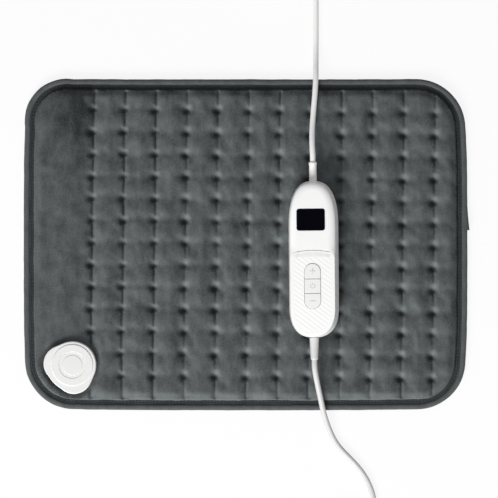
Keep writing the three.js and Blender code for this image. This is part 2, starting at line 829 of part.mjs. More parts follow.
function buildFrontShell() {
  const bottom = handsetOutline(0).map((p) => [p.x, p.y, frontBottom]);
  const faceAngles = [0, 1, 2, 3, 4].map((i) => (Math.PI / 8) * i);
  const outer = ringBody([bottom, ...faceAngles.map(faceRing)]);
  const shoulder = handsetThickness - headRoundHeight;
  const shoulderInset = shellWall + draftInset(shoulder);
  const inner = loft([
    [frontBottom - shellWall, shellWall],
    [shoulder, shoulderInset],
    [faceInner, shoulderInset + headRound / 2],
  ]);
  const above = handsetThickness + clearance;
  const slotOutline = slotShape(0, slotBottom, slotTop, true, true);
  const slot = prism(slotOutline, faceInner - clearance, above, 8);
  const ledge = prism(windowOutline(-windowLedge), faceInner - clearance, above, 3);
  const ledgeTop = handsetThickness - windowThickness - 2 * clearance;
  const recess = prism(windowOutline(clearance), ledgeTop, above, 3);
  const bosses = screwPlaces.map(([, x, y]) =>
    post(bossDiameter, boardTop + clearance, faceInner + clearance, x, y));
  const holes = screwPlaces.map(([, x, y]) => post(screwHole, boardTop, screwTop + clearance, x, y));
  const hollow = cut(outer, inner, reliefHole());
  return cut(join(hollow, ...bosses), buildValley(), slot, ledge, recess, ...holes);
}

function buildWindow() {
  const top = handsetThickness - clearance;
  return prism(windowOutline(0), top - windowThickness, top, 3);
}

function buildBoard() {
  const board = prism(new THREE.Shape(handsetOutline(shellWall + boardGap)), boardHeight, boardTop);
  const length = handsetLength - 2 * boardEndGap;
  const trim = new THREE.Vector3(handsetWidth, length, boardThickness + 2 * clearance);
  const low = boardHeight - clearance;
  const holes = screwPlaces.map(([, x, y]) => post(screwHole, low, boardTop + clearance, x, y));
  return cut(common(board, block(trim, 0, 0, low)), ...holes);
}

function buildScrew(x, y) {
  const headBottom = screwHeadDepth - clearance;
  const headTop = headBottom + screwHeadHeight;
  const screw = turned([
    [0, headBottom],
    [screwHeadDiameter / 2, headBottom],
    [screwHeadDiameter / 2, headTop],
    [screwDiameter / 2, headTop],
    [screwDiameter / 2, screwTop],
    [0, screwTop],
  ], 10);
  return screw.rotateX(Math.PI / 2).translate(x, y, 0);
}

addPiece(handset, 'front_shell', buildFrontShell(), materials.whitePlastic());
addPiece(handset, 'rear_shell', buildRearShell(), materials.whitePlastic());
addPiece(handset, 'display_window', buildWindow(), materials.blackGlass());
addPiece(handset, 'circuit_board', buildBoard(), materials.board());
for (const [name, x, y] of screwPlaces) {
  addPiece(handset, name, buildScrew(x, y), materials.steel());
}

// Display and other board parts
const aboveBoard = boardTop + clearance;
const belowBoard = boardHeight - clearance;
const displayWidth = windowWidth - 2 * displayBorder;
const displayHeight = windowHeight - 2 * displayBorder;
const displaySize = new THREE.Vector3(displayWidth, displayHeight, displayDepth);
const displayBlock = block(displaySize, windowX, windowY, aboveBoard);
addPiece(handset, 'display_module', displayBlock, materials.darkPlastic());
const hungParts = [
  ['relay', relaySize, relayY, materials.darkPlastic()],
  ['filter_capacitor', capacitorSize, capacitorY, materials.wire()],
  ['mains_terminal', terminalSize, terminalY, materials.whitePlastic()],
  ['pad_terminal', terminalSize, -terminalY, materials.whitePlastic()],
];
for (const [name, size, y, material] of hungParts) {
  addPiece(handset, name, block(size, 0, y, belowBoard - size.z), material);
}
const fuseShape = new THREE.CylinderGeometry(fuseDiameter / 2, fuseDiameter / 2, fuseLength, 10);
const fuse = fuseShape.rotateZ(Math.PI / 2).translate(0, fuseY, aboveBoard + fuseDiameter / 2);
addPiece(handset, 'fuse', fuse, materials.whiteRubber());

// Keys, each with its switch and plunger
const keyFlangeTop = faceInner - clearance;
const keyBottom = keyFlangeTop - keyFlangeThickness;
const plungerTop = keyBottom - clearance;
const switchTop = plungerTop - plungerProud;
const plungerBottom = switchTop - plungerGrip;
const switchHoleFloor = plungerBottom - keyTravel - clearance;
const plusLow = slotTop - plusKeyLength;
const powerLow = plusLow - powerKeyLength;
const keys = [
  { name: 'plus', low: plusLow, high: slotTop, roundHigh: true },
  { name: 'power', low: powerLow, high: plusLow },
  { name: 'minus', low: slotBottom, high: powerLow, roundLow: true },
];

function keyShape(key, growth) {
  const low = key.low + (key.roundLow ? -growth : keyClearance / 2);
  const high = key.high + (key.roundHigh ? growth : -keyClearance / 2);
  return slotShape(growth, low, high, key.roundLow, key.roundHigh);
}

for (const key of keys) {
  const middle = (key.low + key.high) / 2;
  const cap = prism(keyShape(key, -keyClearance), keyBottom, handsetThickness + keyProud, 6);
  const flange = prism(keyShape(key, keyFlangeWidth), keyBottom, keyFlangeTop, 6);
  addPiece(handset, `${key.name}_key`, join(cap, flange), materials.whitePlastic());
  const bodySize = new THREE.Vector3(switchSize, switchSize, switchTop - aboveBoard);
  const holeDiameter = plungerDiameter + 2 * clearance;
  const hole = post(holeDiameter, switchHoleFloor, switchTop + clearance, 0, middle);
  const body = cut(block(bodySize, 0, middle, aboveBoard), hole);
  addPiece(handset, `${key.name}_switch`, body, materials.darkPlastic());
  const plunger = post(plungerDiameter, plungerBottom, plungerTop, 0, middle);
  addPiece(handset, `${key.name}_plunger`, plunger, materials.brass());
}

// Strain reliefs of the controller, turned about its long axis
function reliefProfile(length, rootDiameter, lip) {
  const neck = reliefDiameter / 2;
  const flange = reliefFlangeDiameter / 2;
  return [
    [0, -reliefNeck - reliefFlangeThickness],
    [flange, -reliefNeck - reliefFlangeThickness],
    [flange, -reliefNeck],
    [neck, -reliefNeck],
    [neck, clearance],
    [rootDiameter / 2, clearance],
    [neck, length - reliefTipLength],
    [neck + lip, length - reliefLipLength],
    [neck + lip, length],
    [0, length],
  ];
}

const mainsRelief = turned(reliefProfile(mainsReliefLength, reliefDiameter, mainsReliefLip));
mainsRelief.translate(0, handsetLength / 2, reliefHeight);
addPiece(handset, 'mains_relief', mainsRelief, materials.whiteRubber());
const padRelief = turned(reliefProfile(padReliefLength, padReliefRoot, 0)).rotateZ(Math.PI);
padRelief.translate(0, -handsetLength / 2, reliefHeight);
addPiece(handset, 'pad_relief', padRelief, materials.whiteRubber());

// Lead routes start square to the strain reliefs and follow points chosen by hand
handset.updateMatrixWorld(true);

function reliefExit(y) {
  return handset.localToWorld(new THREE.Vector3(0, y, reliefHeight));
}

const toPoints = (list) => list.map(([x, y, z]) => new THREE.Vector3(x, y, z));
const mainsEndY = handsetLength / 2 + mainsReliefLength + clearance;
const padEndY = -handsetLength / 2 - padReliefLength - clearance;
const coilLow = tieThickness + clearance + leadDiameter / 2;
const mainsRoute = toPoints([
  [60.3, 90, 21.6],
  [60.5, 104.4, 17.6],
  [61.5, 118, 14.8],
  [62.6, 130.7, 13.7],
  [63.5, 142.5, 12.4],
  [64, 154.3, 10],
  [64.1, 164.5, 6.4],
  [64.2, 178.8, 3.3],
  [64.2, 195, 2.7],
  [64.2, 212, 2.7],
  [64.2, 232, 2.9],
  [64.2, 250, 3.5],
]);
const padRoute = toPoints([
  [63, -114.5, 22],
  [64.4, -122.3, 20],
  [66.3, -131.4, 16.8],
  [68.4, -140.9, 13.6],
  [70.3, -149.6, 10.9],
  [72.7, -158.2, 8],
  [75.8, -166.8, 5.4],
  [79.7, -175.6, 3.5],
  [84, -182.5, 2.8],
  [88.6, -188],
  [95, -194.5],
  [101.5, -201.5],
  [108, -210],
  [113.2, -220],
  [116.8, -232],
  [118.4, -245, 2.9],
  [118.5, -258, 3.5],
].map(([x, y, z = 2.7]) => [x, y, z]));

// A coil of piled loops: in and out again at a steady rate, climbing a layer at each reversal
function coilPoints(centreX, centreY, startAngle, direction, turns, layers) {
  const perLayer = turns / layers;
  const outer = coilMidRadius + (coilPitch * perLayer) / 2;
  const steps = Math.round(turns * coilSteps);
  const points = [];
  for (let i = 0; i <= steps; i++) {
    const turn = (turns * i) / steps;
    const layer = Math.min(Math.floor(turn / perLayer), layers - 1);
    const within = turn - layer * perLayer;
    const inward = layer % 2 === 0 ? within : perLayer - within;
    const radius = outer - coilPitch * inward;
    let climb = 0;
    for (let k = 1; k < layers; k++) {
      climb += THREE.MathUtils.smoothstep(turn, k * perLayer - 0.25, k * perLayer + 0.25);
    }
    const angle = startAngle + direction * 2 * Math.PI * turn;
    const x = centreX + radius * Math.cos(angle);
    const y = centreY + radius * Math.sin(angle);
    points.push(new THREE.Vector3(x, y, coilLow + coilPitch * climb));
  }
  const square = (from, angle, sign) => {
    const ahead = new THREE.Vector3(-Math.sin(angle), Math.cos(angle), 0).multiplyScalar(direction * sign);
    return from.clone().addScaledVector(ahead, leadDiameter);
  };
  const endAngle = startAngle + direction * 2 * Math.PI * turns;
  points.unshift(square(points[0], startAngle, -1));
  points.push(square(points[points.length - 1], endAngle, 1));
  return points;
}

// Least gap of a coil's surface to itself, between points that lie over a quarter turn apart
function leastGap(points) {
  let least = Infinity;
  for (let i = 0; i < points.length; i++) {
    for (let j = i + coilSteps / 4; j < points.length; j++) {
      least = Math.min(least, points[i].distanceTo(points[j]) - leadDiameter);
    }
  }
  return least;
}

function routeLength(points) {
  return points.slice(1).reduce((sum, point, i) => sum + point.distanceTo(points[i]), 0);
}

const coilOuter = (turns, layers) => coilMidRadius + (coilPitch * turns) / layers / 2;
const mainsCoilOuter = coilOuter(mainsCoilTurns, mainsCoilLayers);
const padCoilOuter = coilOuter(padCoilTurns, padCoilLayers);
const mainsCoilX = mainsCoilEntryX - mainsCoilOuter;
const padCoilX = padCoilEntryX - padCoilOuter;
const mainsCoil = coilPoints(mainsCoilX, mainsCoilY, 0, 1, mainsCoilTurns, mainsCoilLayers);
const padCoil = coilPoints(padCoilX, padCoilY, 0, -1, padCoilTurns, padCoilLayers);

// A point just short of a coil's end, so that the stretch beside it keeps its gap
function shortOf(end, inside) {
  return end.clone().addScaledVector(end.clone().sub(inside).normalize(), clearance);
}

function addLead(name, points) {
  const tube = smoothTube(points, leadDiameter, leadSides, leadStepLength);
  addPiece(heatingPad, name, tube, materials.whiteRubber());
}

function addSteppedLead(name, points, sides) {
  addPiece(heatingPad, name, steppedTube(points, leadDiameter, sides), materials.whiteRubber());
}

const mainsStart = reliefExit(mainsEndY);
const padStart = reliefExit(padEndY);
const mainsMeet = shortOf(mainsCoil[0], mainsCoil[1]);
const padMeet = shortOf(padCoil[0], padCoil[1]);
const mainsLead = [mainsStart, reliefExit(mainsEndY + leadDiameter), ...mainsRoute, mainsMeet];
const padLead = [padStart, reliefExit(padEndY - leadDiameter), ...padRoute, padMeet];
addLead('mains_lead', mainsLead);
addLead('pad_lead', padLead);
addSteppedLead('mains_coil', mainsCoil, coilSides);
addSteppedLead('pad_coil', padCoil, coilSides);

// Tails from the coils down to the plugs, which lie on the floor with their cords along X
const mainsPlugHeight = mainsPlugThickness / 2 + clearance;
const padPlugHeight = padPlugThickness / 2 + clearance;

function tailPoints(coil, plugHeight, run) {
  const last = coil.length - 1;
  const start = shortOf(coil[last], coil[last - 1]);
  const points = [];
  for (let i = 0; i <= tailSteps; i++) {
    const share = i / tailSteps;
    const height = THREE.MathUtils.lerp(start.z, plugHeight, THREE.MathUtils.smoothstep(share, 0.1, 0.9));
    points.push(new THREE.Vector3(start.x - run * share, start.y, height));
  }
  return points;
}

const mainsTail = tailPoints(mainsCoil, mainsPlugHeight, mainsTailRun);
const padTail = tailPoints(padCoil, padPlugHeight, padTailRun);
addSteppedLead('mains_tail', mainsTail, leadSides);
addSteppedLead('pad_tail', padTail, leadSides);

function plugRelief(length, rootDiameter, end) {
  const tip = reliefDiameter / 2;
  const cone = turned([[0, 0], [tip, 0], [tip, reliefTipLength], [rootDiameter / 2, length], [0, length]]);
  return cone.rotateZ(Math.PI / 2).translate(end.x - clearance, end.y, end.z);
}

// Mains plug: a flat two-pin body that widens from its neck to its face
const mainsPlugEnd = mainsTail[mainsTail.length - 1];
const mainsPlugX = mainsPlugEnd.x - 2 * clearance - plugReliefLength;

function buildMainsPlug() {
  const half = mainsPlugWidth / 2;
  const neck = mainsPlugNeck / 2;
  const shape = new THREE.Shape();
  shape.moveTo(0, neck);
  shape.bezierCurveTo(-0.35 * mainsPlugLength, neck, -0.45 * mainsPlugLength, half, -mainsPlugLength, half);
  shape.lineTo(-mainsPlugLength, -half);
  shape.bezierCurveTo(-0.45 * mainsPlugLength, -half, -0.35 * mainsPlugLength, -neck, 0, -neck);
  const low = mainsPlugHeight - mainsPlugThickness / 2;
  const body = roundedPrism(shape, low, low + mainsPlugThickness, mainsPlugRounding, 8);
  return body.translate(mainsPlugX, mainsPlugEnd.y, 0);
}

function buildPin(side) {
  const round = pinDiameter / 2;
  const profile = [[0, 0], [round, 0], [round, pinLength - round], [round / 2, pinLength], [0, pinLength]];
  const pin = turned(profile, 10);
  const x = mainsPlugX - mainsPlugLength - clearance;
  return pin.rotateZ(Math.PI / 2).translate(x, mainsPlugEnd.y + (side * pinSpacing) / 2, mainsPlugHeight);
}

const mainsCone = plugRelief(plugReliefLength, plugReliefRoot, mainsPlugEnd);
addPiece(heatingPad, 'mains_plug_relief', mainsCone, materials.whiteRubber());
addPiece(heatingPad, 'mains_plug', buildMainsPlug(), materials.whitePlastic());
addPiece(heatingPad, 'mains_pin_a', buildPin(1), materials.steel());
addPiece(heatingPad, 'mains_pin_b', buildPin(-1), materials.steel());

// Pad plug: a grip with a tongue that fits the pad socket's mouth
const padPlugEnd = padTail[padTail.length - 1];
const padPlugX = padPlugEnd.x - 2 * clearance - padPlugReliefLength;

function buildPadPlug() {
  const width = socketMouthWidth + 2 * padPlugShoulder;
  const middle = padPlugX - padPlugLength / 2;
  const grip = roundedRectangle(padPlugLength, width, 2 * padPlugRounding, middle, padPlugEnd.y);
  const low = padPlugHeight - padPlugThickness / 2;
  const body = roundedPrism(grip, low, low + padPlugThickness, padPlugRounding, 5);
  const gap = 2 * (tongueGap + contactThickness + clearance);
  const tongueWidth = socketMouthWidth - 2 * tongueGap;
  const size = new THREE.Vector3(2 * tongueLength, tongueWidth, socketMouthHeight - gap);
  const tongue = block(size, padPlugX - padPlugLength, padPlugEnd.y, padPlugHeight - size.z / 2);
  return join(body, tongue);
}

const padCone = plugRelief(padPlugReliefLength, padPlugReliefRoot, padPlugEnd);
addPiece(heatingPad, 'pad_plug_relief', padCone, materials.whiteRubber());
addPiece(heatingPad, 'pad_plug', buildPadPlug(), materials.whitePlastic());

// Ties: a flat band round each coil's bundle
function buildTie(centreX, centreY, angle, turns, layers) {
  const span = (coilPitch * turns) / layers + leadDiameter + 2 * tieSlack;
  const rise = coilPitch * (layers - 1) + leadDiameter + 2 * clearance;
  const band = new THREE.Shape();
  const outerX = span / 2 + tieThickness;
  band.moveTo(-outerX, 0);
  band.lineTo(outerX, 0);
  band.lineTo(outerX, rise + 2 * tieThickness);
  band.lineTo(-outerX, rise + 2 * tieThickness);
  const hole = new THREE.Path();
  hole.moveTo(-span / 2, tieThickness);
  hole.lineTo(-span / 2, tieThickness + rise);
  hole.lineTo(span / 2, tieThickness + rise);
  hole.lineTo(span / 2, tieThickness);
  band.holes.push(hole);
  const ring = new THREE.ExtrudeGeometry(band, { depth: tieWidth, bevelEnabled: false });
  ring.rotateX(Math.PI / 2).translate(coilMidRadius, tieWidth / 2, 0);
  return ring.rotateZ(angle).translate(centreX, centreY, 0);
}

const mainsTie = buildTie(mainsCoilX, mainsCoilY, Math.PI, mainsCoilTurns, mainsCoilLayers);
const padTie = buildTie(padCoilX, padCoilY, Math.PI, padCoilTurns, padCoilLayers);
addPiece(heatingPad, 'mains_tie', mainsTie, materials.darkPlastic());
addPiece(heatingPad, 'pad_tie', padTie, materials.darkPlastic());

const mainsLength = routeLength(mainsLead) + routeLength(mainsCoil) + routeLength(mainsTail);
const padLeadLength = routeLength(padLead) + routeLength(padCoil) + routeLength(padTail);
const inMillimetres = (value) => `${value.toFixed(1)} mm`;
console.log('mains lead', inMillimetres(mainsLength), 'coil least gap', inMillimetres(leastGap(mainsCoil)));
console.log('pad lead', inMillimetres(padLeadLength), 'coil least gap', inMillimetres(leastGap(padCoil)));

export default heatingPad;
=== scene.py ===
import bmesh
import bpy
import math
import random
from mathutils import Euler, Matrix, Vector, noise


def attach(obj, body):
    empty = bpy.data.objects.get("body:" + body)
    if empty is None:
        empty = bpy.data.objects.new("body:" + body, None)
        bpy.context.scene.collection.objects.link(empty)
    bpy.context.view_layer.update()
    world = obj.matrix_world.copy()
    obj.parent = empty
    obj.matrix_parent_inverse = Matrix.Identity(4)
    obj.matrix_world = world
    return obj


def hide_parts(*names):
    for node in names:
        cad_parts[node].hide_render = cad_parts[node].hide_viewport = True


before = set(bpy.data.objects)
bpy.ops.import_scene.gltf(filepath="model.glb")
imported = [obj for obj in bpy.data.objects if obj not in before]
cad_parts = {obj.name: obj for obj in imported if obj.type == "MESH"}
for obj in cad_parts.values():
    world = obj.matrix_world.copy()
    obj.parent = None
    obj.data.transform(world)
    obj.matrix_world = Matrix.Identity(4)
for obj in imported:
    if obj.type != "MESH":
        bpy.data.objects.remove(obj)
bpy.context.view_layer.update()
scene = bpy.context.scene
scene.view_settings.view_transform = "Standard"
random.seed(11)
noise.seed_set(11)
print("frame loaded with", len(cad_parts), "nodes")

# Camera straight above the pad
view = {
    "centre": (0.0034, -0.0044),
    "height": 2.2,
    "faceHeight": 0.008,
    "frameWidth": 0.4517,  # width seen at the height of the pad's face
    "sensor": 36.0,
}
cameraData = bpy.data.cameras.new("camera")
cameraData.sensor_width = view["sensor"]
cameraData.lens = view["sensor"] * (view["height"] - view["faceHeight"]) / view["frameWidth"]
camera = bpy.data.objects.new("camera", cameraData)
camera.location = (*view["centre"], view["height"])
scene.collection.objects.link(camera)
scene.camera = camera

# Small helpers
def smoothStep(low, high, value):
    share = min(max((value - low) / (high - low), 0.0), 1.0)
    return share * share * (3 - 2 * share)


def mix(low, high, share):
    return low + (high - low) * share


def arc(centreX, centreY, radius, fromDegrees, toDegrees, steps):
    points = []
    for i in range(steps + 1):
        angle = math.radians(mix(fromDegrees, toDegrees, i / steps))
        points.append((centreX + radius * math.cos(angle), centreY + radius * math.sin(angle)))
    return points


def atHeight(outline, height):
    return [Vector((x, y, height)) for x, y in outline]


def raiseRings(rings):  # closed body, each ring extruded from the one before
    bm = bmesh.new()
    bottom = bm.faces.new([bm.verts.new(point) for point in rings[0]])
    cap = bottom
    for ring in rings[1:]:
        grown = bmesh.ops.extrude_face_region(bm, geom=[cap])["geom"]
        if cap is not bottom:
            bmesh.ops.delete(bm, geom=[cap], context="FACES_ONLY")
        cap = next(item for item in grown if isinstance(item, bmesh.types.BMFace))
        for vert, point in zip(cap.verts, ring):
            vert.co = point
    bmesh.ops.recalc_face_normals(bm, faces=bm.faces)
    return bm


def turnProfile(profile, steps=32):  # profile of (radius, height) pairs, turned about Z
    bm = bmesh.new()
    verts = [bm.verts.new((radius, 0, height)) for radius, height in profile]
    edges = [bm.edges.new(pair) for pair in zip(verts, verts[1:])]
    bmesh.ops.spin(bm, geom=verts + edges, cent=(0, 0, 0), axis=(0, 0, 1), angle=2 * math.pi,
                   steps=steps, use_merge=True)
    bmesh.ops.remove_doubles(bm, verts=bm.verts, dist=1e-6)
    bmesh.ops.recalc_face_normals(bm, faces=bm.faces)
    return bm


def moved(bm, matrix):
    bmesh.ops.transform(bm, matrix=matrix, verts=bm.verts)
    return bm


def toObject(name, bm):
    mesh = bpy.data.meshes.new(name)
    bm.to_mesh(mesh)
    bm.free()
    obj = bpy.data.objects.new(name, mesh)
    scene.collection.objects.link(obj)
    return obj


def bakeModifiers(obj):
    bpy.context.view_layer.update()
    shaped = bpy.data.meshes.new_from_object(obj.evaluated_get(bpy.context.evaluated_depsgraph_get()))
    shaped.name = obj.name
    obj.modifiers.clear()
    obj.data = shaped


def combine(obj, other, operation):
    modifier = obj.modifiers.new(operation.lower(), "BOOLEAN")
    modifier.operation = operation
    modifier.solver = "EXACT"
    modifier.object = other
    bakeModifiers(obj)
    bpy.data.objects.remove(other, do_unlink=True)


def dress(obj, material, body, replaced=(), sharpAngle=32, weighted=False):
    obj.data.materials.clear()
    obj.data.materials.append(material)
    if obj.type == "MESH":
        obj.data.shade_smooth()
        obj.data.set_sharp_from_angle(angle=math.radians(sharpAngle))
    if weighted:
        normals = obj.modifiers.new("faceNormals", "WEIGHTED_NORMAL")
        normals.keep_sharp = True
    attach(obj, body)
    if replaced:
        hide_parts(*replaced)
    return obj


# Node helpers
def addNode(tree, kind, inputs=None, **settings):
    node = tree.nodes.new(kind)
    for key, value in settings.items():
        setattr(node, key, value)
    for key, value in (inputs or {}).items():
        if isinstance(value, bpy.types.NodeSocket):
            tree.links.new(value, node.inputs[key])
        else:
            node.inputs[key].default_value = value
    return node


def newGroup(name, inputs, outputs):
    group = bpy.data.node_groups.new(name, "ShaderNodeTree")
    for label, value in inputs.items():
        kind = "NodeSocketColor" if hasattr(value, "__len__") else "NodeSocketFloat"
        socket = group.interface.new_socket(label, in_out="INPUT", socket_type=kind)
        socket.default_value = value
    for label, kind in outputs.items():
        group.interface.new_socket(label, in_out="OUTPUT", socket_type=kind)
    groupIn = group.nodes.new("NodeGroupInput")
    groupOut = group.nodes.new("NodeGroupOutput")
    return group, groupIn, groupOut


def noiseAt(tree, vector, scale, detail, roughness):
    inputs = {"Vector": vector, "Scale": scale, "Detail": detail, "Roughness": roughness}
    return addNode(tree, "ShaderNodeTexNoise", inputs).outputs["Fac"]


def spread(tree, value, low, high, toLow=0.0, toHigh=1.0):
    inputs = {"Value": value, "From Min": low, "From Max": high, "To Min": toLow, "To Max": toHigh}
    return addNode(tree, "ShaderNodeMapRange", inputs).outputs["Result"]


def mathNode(tree, operation, first, second):
    return addNode(tree, "ShaderNodeMath", {0: first, 1: second}, operation=operation).outputs[0]


def blendColours(tree, share, first, second):
    node = addNode(tree, "ShaderNodeMix", data_type="RGBA")
    for socket, value in zip([node.inputs[0], node.inputs[6], node.inputs[7]], [share, first, second]):
        if isinstance(value, bpy.types.NodeSocket):
            tree.links.new(value, socket)
        else:
            socket.default_value = value
    return node.outputs[2]


# Brushed pile: patches where the nap leans, streaks along it and single tufts, with the mesh's painted light
# and painted shade mixed in
nap = {
    "stretch": (1.0, 0.45, 1.0),  # patches run along the nap
    "patches": (0.06, 0.34),  # least and most of the light colour that patches add
    "tufts": (0.06, 0.28),
    "shadowStrength": 0.7,
    "shadowColour": (0.008, 0.009, 0.009, 1),
}
napAndShading, groupIn, groupOut = newGroup(
    "napAndShading",
    {"Dark": (0.03, 0.03, 0.03, 1), "Light": (0.1, 0.1, 0.1, 1), "Patch Scale": 90.0, "Tuft Scale": 700.0,
     "Lean": 0.0, "Seam": 0.0},
    {"Colour": "NodeSocketColor", "Height": "NodeSocketFloat"},
)
place = addNode(napAndShading, "ShaderNodeTexCoord").outputs["Object"]
stretched = addNode(napAndShading, "ShaderNodeMapping", {"Vector": place, "Scale": nap["stretch"]})
patches = noiseAt(napAndShading, stretched.outputs["Vector"], groupIn.outputs["Patch Scale"], 4.0, 0.62)
tufts = noiseAt(napAndShading, place, groupIn.outputs["Tuft Scale"], 2.0, 0.6)
patchShare = spread(napAndShading, patches, 0.3, 0.7, *nap["patches"])
tuftShare = spread(napAndShading, tufts, 0.25, 0.75, *nap["tufts"])
napShare = mathNode(napAndShading, "ADD", patchShare, tuftShare)
# painted light: lighter on slopes that face the lamp, darker on slopes facing away, with a painted shadow on
# the plain panel
litShare = mathNode(napAndShading, "ADD", napShare, groupIn.outputs["Lean"])
litPile = blendColours(napAndShading, litShare, groupIn.outputs["Dark"], groupIn.outputs["Light"])
# painted shade in the creases, at the tacks and in the stitched groove, mixed towards near black
shadowShare = mathNode(napAndShading, "MULTIPLY", groupIn.outputs["Seam"], nap["shadowStrength"])
napAndShadeColour = blendColours(napAndShading, shadowShare, litPile, nap["shadowColour"])
napAndShading.links.new(napAndShadeColour, groupOut.inputs["Colour"])
halfPatches = mathNode(napAndShading, "MULTIPLY", patchShare, 0.5)
napHeight = mathNode(napAndShading, "ADD", tuftShare, halfPatches)
napAndShading.links.new(napHeight, groupOut.inputs["Height"])

# Moulded skin: fine spark-eroded grain, slow clouds of colour and gloss
mouldedSkin, groupIn, groupOut = newGroup(
    "mouldedSkin",
    {"Colour": (0.8, 0.8, 0.8, 1), "Shade": (0.7, 0.7, 0.7, 1), "Grain Scale": 1800.0,
     "Gloss": 0.35, "Matt": 0.5},
    {"Colour": "NodeSocketColor", "Roughness": "NodeSocketFloat", "Height": "NodeSocketFloat"},
)
place = addNode(mouldedSkin, "ShaderNodeTexCoord").outputs["Object"]
clouds = spread(mouldedSkin, noiseAt(mouldedSkin, place, 38.0, 3.0, 0.55), 0.3, 0.7)
grain = noiseAt(mouldedSkin, place, groupIn.outputs["Grain Scale"], 2.0, 0.5)
skinColour = blendColours(mouldedSkin, clouds, groupIn.outputs["Colour"], groupIn.outputs["Shade"])
mouldedSkin.links.new(skinColour, groupOut.inputs["Colour"])
cloudPart = mathNode(mouldedSkin, "MULTIPLY", clouds, 0.6)
grainPart = mathNode(mouldedSkin, "MULTIPLY", grain, 0.4)
mattShare = mathNode(mouldedSkin, "ADD", cloudPart, grainPart)
skinRough = spread(mouldedSkin, mattShare, 0.0, 1.0, groupIn.outputs["Gloss"], groupIn.outputs["Matt"])
mouldedSkin.links.new(skinRough, groupOut.inputs["Roughness"])
mouldedSkin.links.new(grain, groupOut.inputs["Height"])


def newMaterial(name, group, values, bump, bumpDistance, **shaderValues):
    material = bpy.data.materials.new(name)
    material.use_nodes = True
    tree = material.node_tree
    shader = tree.nodes["Principled BSDF"]
    finish = addNode(tree, "ShaderNodeGroup", node_tree=group)
    for label, value in values.items():
        finish.inputs[label].default_value = value
    tree.links.new(finish.outputs["Colour"], shader.inputs["Base Color"])
    if "Roughness" in finish.outputs:
        tree.links.new(finish.outputs["Roughness"], shader.inputs["Roughness"])
    lift = addNode(tree, "ShaderNodeBump", {"Strength": bump, "Distance": bumpDistance,
                                            "Height": finish.outputs["Height"]})
    tree.links.new(lift.outputs["Normal"], shader.inputs["Normal"])
    for label, value in shaderValues.items():
        shader.inputs[label.replace("_", " ")].default_value = value
    return material


def pile(name, dark, light, patchScale=90.0, tuftScale=700.0, bump=0.5, sheen=0.25):
    values = {"Dark": (*dark, 1), "Light": (*light, 1), "Patch Scale": patchScale, "Tuft Scale": tuftScale}
    shaderValues = {"Roughness": 0.95, "Specular_IOR_Level": 0.15, "Sheen_Weight": sheen,
                    "Sheen_Roughness": 0.45}
    return newMaterial(name, napAndShading, values, bump, 0.0008, **shaderValues)


def moulded(name, colour, shade, gloss, matt, grainScale=1800.0, bump=0.12, **shaderValues):
    values = {"Colour": (*colour, 1), "Shade": (*shade, 1), "Gloss": gloss, "Matt": matt,
              "Grain Scale": grainScale}
    return newMaterial(name, mouldedSkin, values, bump, 0.0002, **shaderValues)


plush = pile("plush", (0.022, 0.025, 0.026), (0.185, 0.203, 0.208), sheen=0.05)
# the cover's painted light and painted shade, read from its mesh attributes
for label in ("Lean", "Seam"):
    fromMesh = addNode(plush.node_tree, "ShaderNodeAttribute", attribute_name=label.lower())
    plush.node_tree.links.new(fromMesh.outputs["Fac"], plush.node_tree.nodes["Group"].inputs[label])
bindingTape = pile("bindingTape", (0.050, 0.055, 0.056), (0.150, 0.160, 0.163), 160.0, 1100.0, 0.4, 0.12)
backFelt = pile("backFelt", (0.040, 0.044, 0.046), (0.100, 0.106, 0.110), 60.0, 900.0, 0.45, 0.15)
heaterFelt = pile("heaterFelt", (0.45, 0.44, 0.42), (0.62, 0.61, 0.58), 70.0, 900.0, 0.4, 0.1)
thread = pile("thread", (0.022, 0.024, 0.025), (0.060, 0.064, 0.066), 300.0, 2400.0, 0.3, 0.1)
whitePlastic = moulded("whitePlastic", (0.90, 0.90, 0.895), (0.88, 0.88, 0.875), 0.30, 0.42)
socketPlastic = moulded("socketPlastic", (0.76, 0.76, 0.755), (0.73, 0.73, 0.725), 0.34, 0.46)
keyPlastic = moulded("keyPlastic", (0.82, 0.82, 0.815), (0.795, 0.795, 0.79), 0.36, 0.48)
markGrey = moulded("markGrey", (0.62, 0.62, 0.62), (0.58, 0.58, 0.58), 0.45, 0.60)
whiteRubber = moulded("whiteRubber", (0.88, 0.88, 0.875), (0.85, 0.85, 0.845), 0.42, 0.58, 1200.0, 0.18)
# the white rubber painted darker, as painted shade on the pad lead, its boot and its plug's boot; it is the
# same rubber
shadedRubber = moulded("shadedRubber", (0.62, 0.62, 0.615), (0.59, 0.59, 0.585), 0.42, 0.58, 1200.0, 0.18)
blackWindow = moulded("blackWindow", (0.0008, 0.0009, 0.0028), (0.0006, 0.0007, 0.0022), 0.10, 0.16,
                      900.0, 0.01, Specular_IOR_Level=0.02)
darkPlastic = moulded("darkPlastic", (0.030, 0.030, 0.032), (0.022, 0.022, 0.024), 0.40, 0.55)
wireSleeve = moulded("wireSleeve", (0.55, 0.10, 0.07), (0.48, 0.08, 0.06), 0.40, 0.50)
boardGreen = moulded("boardGreen", (0.030, 0.160, 0.060), (0.022, 0.120, 0.046), 0.30, 0.45, 700.0, 0.2)
steel = moulded("steel", (0.62, 0.62, 0.63), (0.55, 0.55, 0.56), 0.20, 0.34, 900.0, 0.06, Metallic=1.0)
brass = moulded("brass", (0.72, 0.55, 0.26), (0.64, 0.48, 0.22), 0.22, 0.36, 900.0, 0.06, Metallic=1.0)
print("materials made:", len(bpy.data.materials))

